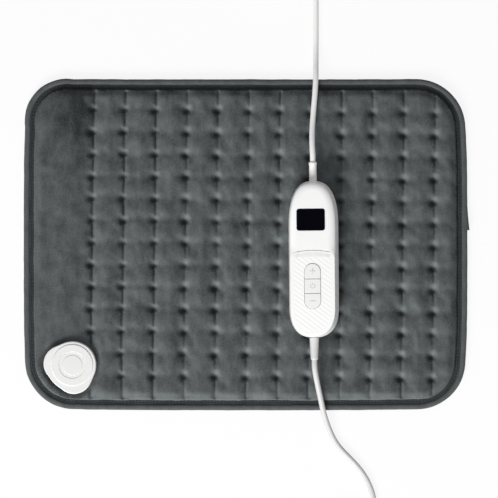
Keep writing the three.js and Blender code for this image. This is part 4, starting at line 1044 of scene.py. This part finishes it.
stitchMesh = bmesh.new()
for inset, height in stitches["rows"]:
    around = 2 * (pad["length"] + pad["width"] - 4 * pad["corner"]) + 2 * math.pi * (pad["corner"] - inset)
    count = round(around / stitches["pitch"])
    for i in range(count):
        spot, heading = alongOutline(inset, around * (i + 0.5) / count)
        turn = Matrix.Rotation(heading + random.uniform(-stitches["sway"], stitches["sway"]), 4, "Z")
        width = stitches["width"]
        size = Matrix.Diagonal((stitches["length"] / 2, width, width * stitches["flatness"], 1))
        spot.z = height + random.uniform(-stitches["lift"], stitches["lift"])
        bmesh.ops.create_icosphere(stitchMesh, subdivisions=1, radius=1,
                                   matrix=Matrix.Translation(spot) @ turn @ size)
settle(stitchMesh)
stitchRow = toObject("binding_stitches", stitchMesh)
dress(stitchRow, thread, "pad", (), 80)
print("stitches sewn:", len(stitchRow.data.polygons), "faces")

# Back cover: a flat felt panel inside the binding
back = {
    "inset": 0.0068,
    "thick": 0.0012,
    "edge": 0.0004,
    "steps": 16,
}


def roundedBox(halfX, halfY, radius, steps, middleX=0.0, middleY=0.0):
    outline = []
    for sideX, sideY, start in [(1, 1, 0), (-1, 1, 90), (-1, -1, 180), (1, -1, 270)]:
        centreX = middleX + sideX * (halfX - radius)
        centreY = middleY + sideY * (halfY - radius)
        outline += arc(centreX, centreY, radius, start, start + 90, steps)
    return outline


def padLayer(inset, height):
    halves = pad["length"] / 2 - inset, pad["width"] / 2 - inset
    return atHeight(roundedBox(*halves, pad["corner"] - inset, back["steps"]), height)


backMesh = raiseRings([
    padLayer(back["inset"] + back["edge"], 0.0),
    padLayer(back["inset"], back["edge"]),
    padLayer(back["inset"], back["thick"] - back["edge"]),
    padLayer(back["inset"] + back["edge"], back["thick"]),
])
settle(backMesh)
backArea = sum(part.calc_area() for part in backMesh.faces if part.normal.z < -0.9)
backPanel = toObject("back_panel", backMesh)
dress(backPanel, backFelt, "pad", ["back_cover"], 60, True)

# Socket shell
lowerEdge = socket["lowerEdge"]
socketRings = [atHeight(socketOutline(lowerEdge), socket["bottom"])]
socketRings.append(atHeight(socketOutline(0), socket["bottom"] + lowerEdge))
for i in range(socket["edgeSteps"] + 1):
    angle = math.pi / 2 * i / socket["edgeSteps"]
    inset = socket["rounding"] * (1 - math.cos(angle))
    height = socket["top"] - socket["rounding"] * (1 - math.sin(angle))
    socketRings.append(atHeight(socketOutline(inset), height))
socketShell = toObject("socket_shell", raiseRings(socketRings))
discBottom = socket["top"] - socket["discRoot"]
discTop = socket["discTop"]
edge = socket["edge"]
ringFloor = discTop - socket["ringDepth"]
discProfile = [
    (0, discBottom), (socket["discRadius"], discBottom),
    *[(socket["discRadius"] - edge + x, discTop - edge + y) for x, y in arc(0, 0, edge, 0, 90, 5)],
    *[(socket["ringOuter"] + edge + x, discTop - edge + y) for x, y in arc(0, 0, edge, 90, 180, 5)],
    (socket["ringOuter"], ringFloor), (socket["ringInner"], ringFloor),
    *[(socket["ringInner"] - edge + x, discTop - edge + y) for x, y in arc(0, 0, edge, 0, 90, 5)],
    (0, discTop + socket["discCrown"]),
]
combine(socketShell, toObject("socket_disc", turnProfile(discProfile, 96)), "UNION")
mouthBox = bmesh.new()
mouthBack = socket["front"] + socket["bow"] / 2 - socket["mouthDepth"]
mouthMiddle = socket["floor"] + socket["mouthHeight"] / 2
mouthPlace = Matrix.Translation((mouthBack + socket["mouthDepth"], 0, mouthMiddle))
mouthSize = Matrix.Diagonal((2 * socket["mouthDepth"], socket["mouthWidth"], socket["mouthHeight"], 1))
bmesh.ops.create_cube(mouthBox, size=1.0, matrix=mouthPlace @ mouthSize)
combine(socketShell, toObject("socket_mouth", mouthBox), "DIFFERENCE")
socketShell.data.transform(socketPlace)
dress(socketShell, socketPlastic, "pad", ["socket_top"], 32, True)
print("socket made:", len(socketShell.data.polygons), "faces")

# Controller shells, lofted through the outline in the controller's own frame
face = {
    "headRound": 0.007,
    "headRoundHeight": 0.0042,
    "panelRound": 0.0008,
    "panelRoundHeight": 0.0008,
    "step": 0.006,
    "stepRise": 0.0022,
    "stepBlend": 0.005,
    "valleyDepth": 0.0011,
    "valleyLength": 0.0050,
    "slitWidth": 0.00042,  # joint line under the head
    "slitDepth": 2.1,  # in valley depths
    "valleyBorder": 0.0010,
    "valleySteps": 32,
    "valleyFade": 0.08,  # share of the width over which the valley runs out
    "valleyLeast": 0.02,
    "taperSteps": 44,
    "sideSteps": 24,
    "roundSteps": 9,
    "inner": 0.022,
    "window": (-0.0012, 0.0356),
    "windowSize": (0.0252, 0.0194),
    "windowCorner": 0.0022,
    "windowThick": 0.0009,
    "windowSink": 0.0003,
    "windowGap": 0.0003,
    "windowUnder": 0.0006,
    "windowEdge": 0.00025,
    "ledge": 0.0016,
    "cutMargin": 0.001,
    "slotWidth": 0.0149,
    "slotLength": 0.0409,
    "slotMiddle": -0.024,
    "keyGap": 0.00024,
    "keySplit": 0.00018,
    "keyProud": 0.0006,
    "keyBottom": 0.0202,
    "keyEdge": 0.00045,
    "plusLength": 0.0139,
    "powerLength": 0.0129,
}


def taperPoint(angle, half, length, startY):
    power = 2 / handset["taperPower"]
    across = math.copysign(abs(math.cos(angle)) ** power, math.cos(angle))
    along = math.copysign(abs(math.sin(angle)) ** power, math.sin(angle))
    return half * across, startY + length * along


def handsetOutline(inset):
    half = handset["width"] / 2 - inset
    top = handset["length"] / 2 - handset["topTaper"]
    bottom = handset["bottomTaper"] - handset["length"] / 2
    steps = face["taperSteps"]
    sides = [mix(top, bottom, (i + 1) / (face["sideSteps"] + 1)) for i in range(face["sideSteps"])]
    upper = [math.pi * i / steps for i in range(steps + 1)]
    lower = [math.pi * (1 + i / steps) for i in range(steps + 1)]
    outline = [taperPoint(angle, half, handset["topTaper"] - inset, top) for angle in upper]
    outline += [(-half, y) for y in sides]
    outline += [taperPoint(angle, half, handset["bottomTaper"] - inset, bottom) for angle in lower]
    outline += [(half, y) for y in reversed(sides)]
    return outline


def draftInset(height):
    return (height - handset["parting"]) * math.tan(math.radians(handset["draft"]))


def faceRing(angle):  # rounder on the head than along the key panel
    ring = []
    for i, (_, y) in enumerate(handsetOutline(0)):
        share = smoothStep(face["step"] - face["stepBlend"], face["step"] + face["stepBlend"], y)
        rounding = mix(face["panelRound"], face["headRound"], share)
        roundHeight = mix(face["panelRoundHeight"], face["headRoundHeight"], share)
        shoulder = handset["thickness"] - roundHeight
        inset = draftInset(shoulder) + rounding * (1 - math.cos(angle))
        ring.append(Vector((*handsetOutline(inset)[i], shoulder + roundHeight * math.sin(angle))))
    return ring


def prism(name, outline, low, high):
    return toObject(name, raiseRings([atHeight(outline, low), atHeight(outline, high)]))


def slotOutline(grow, low, high, roundLow=True, roundHigh=True):
    radius = face["slotWidth"] / 2 + grow
    outline = arc(0, high - radius, radius, 0, 180, 24) if roundHigh else [(radius, high), (-radius, high)]
    outline += arc(0, low + radius, radius, 180, 360, 24) if roundLow else [(-radius, low), (radius, low)]
    return outline


def windowOutline(grow):
    halves = face["windowSize"][0] / 2 + grow, face["windowSize"][1] / 2 + grow
    return roundedBox(*halves, face["windowCorner"] + grow, 8, *face["window"])


slotTop = face["slotMiddle"] + face["slotLength"] / 2
slotBottom = face["slotMiddle"] - face["slotLength"] / 2
above = handset["thickness"] + face["cutMargin"]
below = face["inner"] - face["cutMargin"]
frontBottom = handset["parting"] + handset["gap"]
faceAngles = [math.pi / 2 * i / face["roundSteps"] for i in range(face["roundSteps"] + 1)]
frontRings = [atHeight(handsetOutline(handset["edge"]), frontBottom)]
frontRings.append(atHeight(handsetOutline(0), frontBottom + handset["edge"]))
frontRings += [faceRing(angle) for angle in faceAngles]
frontShell = toObject("front_casing", raiseRings(frontRings))
shoulder = handset["thickness"] - face["headRoundHeight"]
shoulderInset = handset["wall"] + draftInset(shoulder)
hollow = raiseRings([
    atHeight(handsetOutline(handset["wall"]), frontBottom - handset["wall"]),
    atHeight(handsetOutline(shoulderInset), shoulder),
    atHeight(handsetOutline(shoulderInset + face["headRound"] / 2), face["inner"]),
])
combine(frontShell, toObject("front_hollow", hollow), "DIFFERENCE")
faceInset = draftInset(handset["thickness"] - face["panelRoundHeight"]) + face["panelRound"]
valleyHalf = handset["width"] / 2 - faceInset - face["valleyBorder"]
# Section of the cut under the head in valley lengths and depths; its last two corners lie across the slit
valleySection = [(0, face["slitDepth"]), (0, -1.2), (1.1, -1.2), (1.1, -0.11), (0, 1), (0, face["slitDepth"])]
valleyRings = []
for i in range(face["valleySteps"] + 1):
    share = i / face["valleySteps"]
    x = mix(-valleyHalf, valleyHalf, share)
    topEdge = face["step"] + face["stepRise"] * (1 - (x / valleyHalf) ** 2)
    running = smoothStep(0, face["valleyFade"], min(share, 1 - share))
    depth = face["valleyDepth"] * (running + face["valleyLeast"])
    section = []
    for corner, (along, down) in enumerate(valleySection):
        slit = face["slitWidth"] if corner > 3 else 0.0
        y = topEdge - slit - face["valleyLength"] * along
        section.append(Vector((x, y, handset["thickness"] - depth * down)))
    valleyRings.append(section)
combine(frontShell, toObject("valley", raiseRings(valleyRings)), "DIFFERENCE")
keySlot = prism("key_slot", slotOutline(0, slotBottom, slotTop), below, above)
combine(frontShell, keySlot, "DIFFERENCE")
ledge = prism("window_ledge", windowOutline(-face["ledge"]), below, above)
combine(frontShell, ledge, "DIFFERENCE")
recessFloor = handset["thickness"] - face["windowThick"] - face["windowUnder"]
recess = prism("window_recess", windowOutline(face["windowGap"]), recessFloor, above)
combine(frontShell, recess, "DIFFERENCE")

# Ribbed panel round the keys: slanting ribs cut across one flat outline, set in a shallow seat
ribs = {
    "border": 0.0056,
    "top": 0.0022,
    "slant": -37.0,
    "pitch": 0.0034,
    "height": 0.00010,
    "seat": 0.0004,
    "sunk": 0.0001,
    "lift": 0.00005,
    "holeGap": 0.0002,
    "bend": 0.003,
    "bendClear": 0.004,
    "cutsPerRib": 6,
}


def ribOutline():
    half = handset["width"] / 2 - ribs["border"]
    top = ribs["top"]
    bend = ribs["bend"]
    outline = [(x, y) for x, y in handsetOutline(ribs["border"]) if y < top - ribs["bendClear"]]
    outline += arc(half - bend, top - bend, bend, 0, 90, 6)
    outline += arc(bend - half, top - bend, bend, 90, 180, 6)
    return outline


ribSeat = handset["thickness"] - ribs["seat"]
combine(frontShell, prism("rib_seat", ribOutline(), ribSeat, above), "DIFFERENCE")
frontShell.data.transform(handsetFrame)
dress(frontShell, whitePlastic, "pad", ["front_shell"], 32, True)
print("front casing made:", len(frontShell.data.polygons), "faces")

ribMesh = bmesh.new()
ribMesh.faces.new([ribMesh.verts.new(point) for point in atHeight(ribOutline(), 0)])
slant = math.radians(ribs["slant"] + 90)
acrossRibs = Vector((math.cos(slant), math.sin(slant), 0))
cutStep = ribs["pitch"] / ribs["cutsPerRib"]
reach = round(handset["length"] / cutStep / 2)
for i in range(-reach, reach + 1):
    everything = ribMesh.verts[:] + ribMesh.edges[:] + ribMesh.faces[:]
    bmesh.ops.bisect_plane(ribMesh, geom=everything, plane_co=acrossRibs * (cutStep * i), plane_no=acrossRibs)
upper = bmesh.ops.extrude_face_region(ribMesh, geom=ribMesh.faces[:])["geom"]
for item in upper:
    if isinstance(item, bmesh.types.BMVert):
        wave = 0.5 - 0.5 * math.cos(2 * math.pi * item.co.dot(acrossRibs) / ribs["pitch"])
        item.co.z = ribs["seat"] - ribs["sunk"] + ribs["height"] * wave
bmesh.ops.recalc_face_normals(ribMesh, faces=ribMesh.faces)
moved(ribMesh, Matrix.Translation((0, 0, ribSeat + ribs["lift"])))
ribPanel = toObject("rib_panel", ribMesh)
holeGap = ribs["holeGap"]
holeOutline = slotOutline(holeGap, slotBottom - holeGap, slotTop + holeGap)
keyHole = prism("rib_hole", holeOutline, face["inner"], above)
combine(ribPanel, keyHole, "DIFFERENCE")
ribPanel.data.transform(handsetFrame)
dress(ribPanel, whitePlastic, "pad", (), 32)
print("rib panel cut:", len(ribPanel.data.polygons), "faces")

# Rear shell with its belly rounded to the parting line, hollow, with four screw wells
rear = {
    "roundSteps": 10,
    "screwInset": 0.007,
    "screwRows": (0.022, -0.044),
    "wellRadius": 0.0026,
    "wellDepth": 0.005,
    "bossWall": 0.0015,
    "bossFoot": 0.0012,
}


def bellyRings(grow):
    rings = []
    for i in range(rear["roundSteps"] + 1):
        angle = math.pi / 2 * i / rear["roundSteps"]
        height = handset["bellyRound"] * (1 - math.cos(angle)) + grow
        rings.append(atHeight(handsetOutline(handset["bellyInset"] * (1 - math.sin(angle)) + grow), height))
    return rings


parting = handset["parting"]
rearRings = bellyRings(0)
rearRings.append(atHeight(handsetOutline(0), parting - handset["edge"]))
rearRings.append(atHeight(handsetOutline(handset["edge"]), parting))
rearShell = toObject("rear_casing", raiseRings(rearRings))
rearInner = bellyRings(handset["wall"])
rearInner.append(atHeight(handsetOutline(handset["wall"]), parting + handset["wall"]))
combine(rearShell, toObject("rear_hollow", raiseRings(rearInner)), "DIFFERENCE")
for side in (1, -1):
    for y in rear["screwRows"]:
        x = side * (handset["width"] / 2 - rear["screwInset"])
        boss = arc(x, y, rear["wellRadius"] + rear["bossWall"], 0, 345, 23)
        well = arc(x, y, rear["wellRadius"], 0, 345, 23)
        bossTop = rear["wellDepth"] + rear["bossWall"]
        combine(rearShell, prism("screw_boss", boss, rear["bossFoot"], bossTop), "UNION")
        combine(rearShell, prism("screw_well", well, -handset["wall"], rear["wellDepth"]), "DIFFERENCE")
rearShell.data.transform(handsetFrame)
dress(rearShell, whitePlastic, "pad", ["rear_shell"], 32, True)
print("rear casing made:", len(rearShell.data.polygons), "faces")


def softenTop(bm, height, width, segments=3):  # rounds the edges that lie at a height
    rim = [edge for edge in bm.edges if all(abs(vert.co.z - height) < 1e-6 for vert in edge.verts)]
    bmesh.ops.bevel(bm, geom=rim, offset=width, offset_type="OFFSET", affect="EDGES", segments=segments,
                    profile=0.5, material=-1, clamp_overlap=True)
    return bm


# Display window
windowTop = handset["thickness"] - face["windowSink"]
windowMesh = raiseRings([atHeight(windowOutline(0), windowTop - face["windowThick"]),
                         atHeight(windowOutline(0), windowTop)])
softenTop(windowMesh, windowTop, face["windowEdge"])
window = toObject("window_pane", moved(windowMesh, handsetFrame))
dress(window, blackWindow, "pad", ["display_window"], 32, True)

# Keys and the marks on them; each mark rides with its key
keyTop = handset["thickness"] + face["keyProud"]
plusLow = slotTop - face["plusLength"]
powerLow = plusLow - face["powerLength"]
keys = {
    "plus": {"low": plusLow, "high": slotTop, "roundLow": False, "roundHigh": True},
    "power": {"low": powerLow, "high": plusLow, "roundLow": False, "roundHigh": False},
    "minus": {"low": slotBottom, "high": powerLow, "roundLow": True, "roundHigh": False},
}
marks = {
    "thick": 0.00016,
    "stroke": 0.00075,
    "arm": 0.0026,  # half the length of a bar
    "ring": 0.0021,
    "gapDegrees": 38.0,
    "barLength": 0.6,  # half length and place of the power sign's bar, in ring radii
    "barRise": 0.75,
    "edge": 0.00008,
    "sunk": 0.0001,
    "barRound": 0.98,
}


def bar(halfX, halfY, middleX, middleY):
    return roundedBox(halfX, halfY, min(halfX, halfY) * marks["barRound"], 5, middleX, middleY)


def markBody(outline):
    markTop = keyTop + marks["thick"]
    bm = raiseRings([atHeight(outline, keyTop - marks["sunk"]), atHeight(outline, markTop)])
    return softenTop(bm, markTop, marks["edge"], 2)


def markOutlines(name, middle):
    stroke = marks["stroke"] / 2
    if name == "minus":
        return [bar(marks["arm"], stroke, 0, middle)]
    if name == "plus":
        inner, outer = stroke, marks["arm"]
        cross = [(outer, -inner), (outer, inner), (inner, inner), (inner, outer),
                 (-inner, outer), (-inner, inner), (-outer, inner), (-outer, -inner),
                 (-inner, -inner), (-inner, -outer), (inner, -outer), (inner, -inner)]
        return [[(x, y + middle) for x, y in cross]]
    start = 90 + marks["gapDegrees"]
    stop = 450 - marks["gapDegrees"]
    ring = arc(0, middle, marks["ring"] + stroke, start, stop, 40)
    ring += arc(0, middle, marks["ring"] - stroke, stop, start, 40)
    upright = bar(stroke, marks["ring"] * marks["barLength"], 0, middle + marks["ring"] * marks["barRise"])
    return [ring, upright]


for name, key in keys.items():
    gap = face["keyGap"]
    low = key["low"] + (gap if key["roundLow"] else face["keySplit"])
    high = key["high"] - (gap if key["roundHigh"] else face["keySplit"])
    outline = slotOutline(-gap, low, high, key["roundLow"], key["roundHigh"])
    keyMesh = raiseRings([atHeight(outline, face["keyBottom"]), atHeight(outline, keyTop)])
    softenTop(keyMesh, keyTop, face["keyEdge"], 4)
    keyCap = toObject(name + "_cap", moved(keyMesh, handsetFrame))
    dress(keyCap, keyPlastic, name + "_button", [name + "_key"], 32, True)
    markMesh = bmesh.new()
    for markOutline in markOutlines(name, (key["low"] + key["high"]) / 2):
        part = bpy.data.meshes.new("markPart")
        bodyMesh = markBody(markOutline)
        bodyMesh.to_mesh(part)
        bodyMesh.free()
        markMesh.from_mesh(part)
        bpy.data.meshes.remove(part)
    mark = toObject(name + "_mark", moved(markMesh, handsetFrame))
    dress(mark, markGrey, name + "_button", (), 32)
print("keys made:", len(keys))

# Strain reliefs: turned about the lead, then laid along it
relief = {
    "neck": 0.0034,
    "flange": 0.0048,
    "inside": 0.0045,
    "flangeThick": 0.002,
    "mainsLip": 0.00035,
    "padRoot": 0.0042,
    "rootGap": (0.0002, 0.0003),
    "rootEnd": 0.0012,
    "waist": 0.45,
    "lipEnds": (0.0028, 0.0020, 0.0006),  # back from the tip
    "tipEdge": 0.0005,
    "bore": 0.0024,
    "boreDepth": 0.003,
}


def reliefProfile(length, root, lip):
    neck = relief["neck"]
    bore = relief["bore"]
    inside = -relief["inside"]
    bottom = inside - relief["flangeThick"]
    lipStart, lipFull, lipEnd = [length - back for back in relief["lipEnds"]]
    boreEnd = length - relief["boreDepth"]
    return [
        (0, bottom), (relief["flange"], bottom), (relief["flange"], inside), (neck, inside),
        (neck, relief["rootGap"][0]), (root, relief["rootGap"][1]), (root, relief["rootEnd"]),
        (mix(root, neck, 0.5), length * relief["waist"]), (neck, lipStart), (neck + lip, lipFull),
        (neck + lip, lipEnd), (neck + lip - relief["tipEdge"], length),
        (bore, length), (bore, boreEnd), (0, boreEnd),
    ]


alongY = Matrix.Rotation(-math.pi / 2, 4, "X")
mainsSeat = Matrix.Translation((0, handset["length"] / 2, handset["cordHeight"]))
padSeat = Matrix.Translation((0, -handset["length"] / 2, handset["cordHeight"]))
padSeat = padSeat @ Matrix.Rotation(math.pi, 4, "Z")
mainsBoot = turnProfile(reliefProfile(handset["mainsRelief"], relief["neck"], relief["mainsLip"]), 40)
mainsBoot = toObject("mains_boot", moved(mainsBoot, handsetFrame @ mainsSeat @ alongY))
dress(mainsBoot, whiteRubber, "pad", ["mains_relief"], 40)
padBoot = turnProfile(reliefProfile(handset["padRelief"], relief["padRoot"], 0.0), 40)
padBoot = toObject("pad_boot", moved(padBoot, handsetFrame @ padSeat @ alongY))
dress(padBoot, shadedRubber, "pad", ["pad_relief"], 40)

# Plugs at the far ends, lying on the floor with their cords along X
plug = {
    "gap": 0.0003,
    "tip": 0.0034,
    "tipEdge": 0.0005,
    "tipRound": 0.0006,
    "plainEnd": 0.004,
    "ribs": 6,
    "ribDepth": 0.00045,
    "ribShape": [(0.0, 0), (0.45, 0), (0.55, 1), (0.9, 1)],  # share along a rib, share of its depth
    "mainsBoot": 0.030,
    "mainsRoot": 0.0048,
    "padBoot": 0.022,
    "padRoot": 0.0040,
    "length": 0.035,
    "width": 0.034,
    "neck": 0.013,
    "thick": 0.0136,
    "round": 0.0034,
    "outlineSteps": 12,
    "flare": (0.05, 0.85),
    "pinGap": 0.00005,
    "pinRadius": 0.002,
    "pinLength": 0.019,
    "pinSpacing": 0.019,
    "padLength": 0.026,
    "padShoulder": 0.003,
    "padThick": 0.011,
    "padRound": 0.003,
    "tongue": 0.012,
    "tongueSize": (0.0228, 0.0030),
    "tongueRound": 0.0012,
}
alongMinusX = Matrix.Rotation(-math.pi / 2, 4, "Y")


def plugBoot(length, root):  # ribbed sleeve that widens towards the plug
    bore = relief["bore"]
    tip = plug["tip"]
    plain = plug["plainEnd"]
    profile = [(0, relief["boreDepth"]), (bore, relief["boreDepth"]), (bore, 0), (tip - plug["tipEdge"], 0),
               (tip, plug["tipRound"])]
    for i in range(plug["ribs"]):
        start = mix(plain, length - plain, i / plug["ribs"])
        stop = mix(plain, length - plain, (i + 1) / plug["ribs"])
        for share, depth in plug["ribShape"]:
            at = mix(start, stop, share)
            profile.append((mix(tip, root, at / length) - plug["ribDepth"] * depth, at))
    profile += [(mix(tip, root, 1 - plain / length), length - plain), (root, length), (0, length)]
    return turnProfile(profile, 32)


def endOf(points):  # where the visible cord ends, before its hidden length
    return points[-2] - Vector((lead["gap"], 0, 0))


def slab(outlineAt, low, high, rounding, steps=6):  # body with round edges above and below
    rings = []
    for i in range(steps + 1):
        angle = math.pi / 2 * i / steps
        inset = rounding * (1 - math.sin(angle))
        rings.append(atHeight(outlineAt(inset), low + rounding * (1 - math.cos(angle))))
    for i in range(steps + 1):
        angle = math.pi / 2 * i / steps
        inset = rounding * (1 - math.cos(angle))
        rings.append(atHeight(outlineAt(inset), high - rounding * (1 - math.sin(angle))))
    return raiseRings(rings)


mainsEnd = endOf(mainsPoints)
mainsSleeve = plugBoot(plug["mainsBoot"], plug["mainsRoot"])
mainsSleeve = toObject("mains_plug_boot", moved(mainsSleeve, Matrix.Translation(mainsEnd) @ alongMinusX))
dress(mainsSleeve, whiteRubber, "pad", ["mains_plug_relief"], 40)
plugX = mainsEnd.x - plug["mainsBoot"] - plug["gap"]


def plugOutline(inset):  # neck at the cord, widening to the pins' face
    outline = []
    for i in range(plug["outlineSteps"] + 1):
        share = i / plug["outlineSteps"]
        half = mix(plug["neck"] / 2, plug["width"] / 2, smoothStep(*plug["flare"], share)) - inset
        outline.append((plugX - mix(inset, plug["length"] - inset, share), mainsEnd.y + half))
    return outline + [(x, 2 * mainsEnd.y - y) for x, y in reversed(outline)]


plugLow = mainsEnd.z - plug["thick"] / 2
mainsBody = slab(plugOutline, plugLow, plugLow + plug["thick"], plug["round"])
mainsPlug = toObject("mains_plug_body", mainsBody)
dress(mainsPlug, whitePlastic, "pad", ["mains_plug"], 40, True)

for label, side in [("a", 1), ("b", -1)]:
    pinFoot = plugX - plug["length"] - plug["pinGap"]
    seat = Vector((pinFoot, mainsEnd.y + side * plug["pinSpacing"] / 2, mainsEnd.z))
    tip = [(x, plug["pinLength"] - plug["pinRadius"] + y) for x, y in arc(0, 0, plug["pinRadius"], 0, 88, 6)]
    pinMesh = turnProfile([(0, 0), (plug["pinRadius"], 0), *tip, (0, plug["pinLength"])], 24)
    pin = toObject("plug_pin_" + label, moved(pinMesh, Matrix.Translation(seat) @ alongMinusX))
    dress(pin, steel, "pad", ["mains_pin_" + label], 40)

padEnd = endOf(padPoints)
padSleeve = plugBoot(plug["padBoot"], plug["padRoot"])
padSleeve = toObject("pad_plug_boot", moved(padSleeve, Matrix.Translation(padEnd) @ alongMinusX))
dress(padSleeve, shadedRubber, "pad", ["pad_plug_relief"], 40)
gripX = padEnd.x - plug["padBoot"] - plug["gap"]
gripHalf = socket["mouthWidth"] / 2 + plug["padShoulder"]


def gripOutline(inset):
    halves = plug["padLength"] / 2 - inset, gripHalf - inset
    return roundedBox(*halves, 2 * plug["padRound"] - inset, 8, gripX - plug["padLength"] / 2, padEnd.y)


gripLow = padEnd.z - plug["padThick"] / 2
padGrip = toObject("pad_plug_body", slab(gripOutline, gripLow, gripLow + plug["padThick"], plug["padRound"]))
tongueHalves = plug["tongue"], plug["tongueSize"][0] / 2
tongueOutline = roundedBox(*tongueHalves, plug["tongueRound"], 4, gripX - plug["padLength"], padEnd.y)
tongueLow = padEnd.z - plug["tongueSize"][1] / 2
combine(padGrip, prism("tongue", tongueOutline, tongueLow, tongueLow + plug["tongueSize"][1]), "UNION")
dress(padGrip, whitePlastic, "pad", ["pad_plug"], 40, True)

# Ties: a flat loop of soft strap round each coil's bundle
tie = {
    "thick": 0.0008,
    "width": 0.008,
    "slack": 0.0006,
    "bend": 0.0024,
}


def strapTie(name, cord, node):
    thick = tie["thick"]
    bundle = lead["coilPitch"] * cord["turns"] / cord["layers"] + lead["diameter"]
    halfX = bundle / 2 + tie["slack"] + thick
    rise = lead["coilPitch"] * (cord["layers"] - 1) + lead["diameter"] + 2 * lead["gap"] + 2 * thick
    outer = roundedBox(halfX, rise / 2, tie["bend"], 6, 0, rise / 2)
    inner = roundedBox(halfX - thick, rise / 2 - thick, tie["bend"] - thick, 6, 0, rise / 2)
    strap = prism(name, outer, -tie["width"] / 2, tie["width"] / 2)
    combine(strap, prism("tie_hole", inner, -tie["width"], tie["width"]), "DIFFERENCE")
    upright = Matrix.Rotation(math.pi / 2, 4, "X")
    middle = (cord["centre"][0] - lead["coilRadius"], cord["centre"][1], 0)
    strap.data.transform(Matrix.Translation(middle) @ upright)
    return dress(strap, darkPlastic, "pad", [node], 40)


mainsStrap = strapTie("mains_strap", mainsLead, "mains_tie")
padStrap = strapTie("pad_strap", padLead, "pad_tie")


print("plugs and ties made")

# Finishes of the pieces that stay as the frame has them
kept = {
    "heater_carrier": heaterFelt,
    "heating_wire": wireSleeve,
    "cold_lead_a": wireSleeve,
    "cold_lead_b": wireSleeve,
    "thermal_cutout": darkPlastic,
    "socket_base": socketPlastic,
    "socket_contact_a": brass,
    "socket_contact_b": brass,
    "display_module": darkPlastic,
    "circuit_board": boardGreen,
    "relay": darkPlastic,
    "filter_capacitor": wireSleeve,
    "mains_terminal": whitePlastic,
    "pad_terminal": whitePlastic,
    "fuse": whiteRubber,
}
for number in range(1, 5):
    kept["casing_screw_" + str(number)] = steel
for name in keys:
    kept[name + "_switch"] = darkPlastic
    kept[name + "_plunger"] = brass
for node, material in kept.items():
    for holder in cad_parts[node].material_slots:
        holder.material = material
print("kept pieces finished:", len(kept))
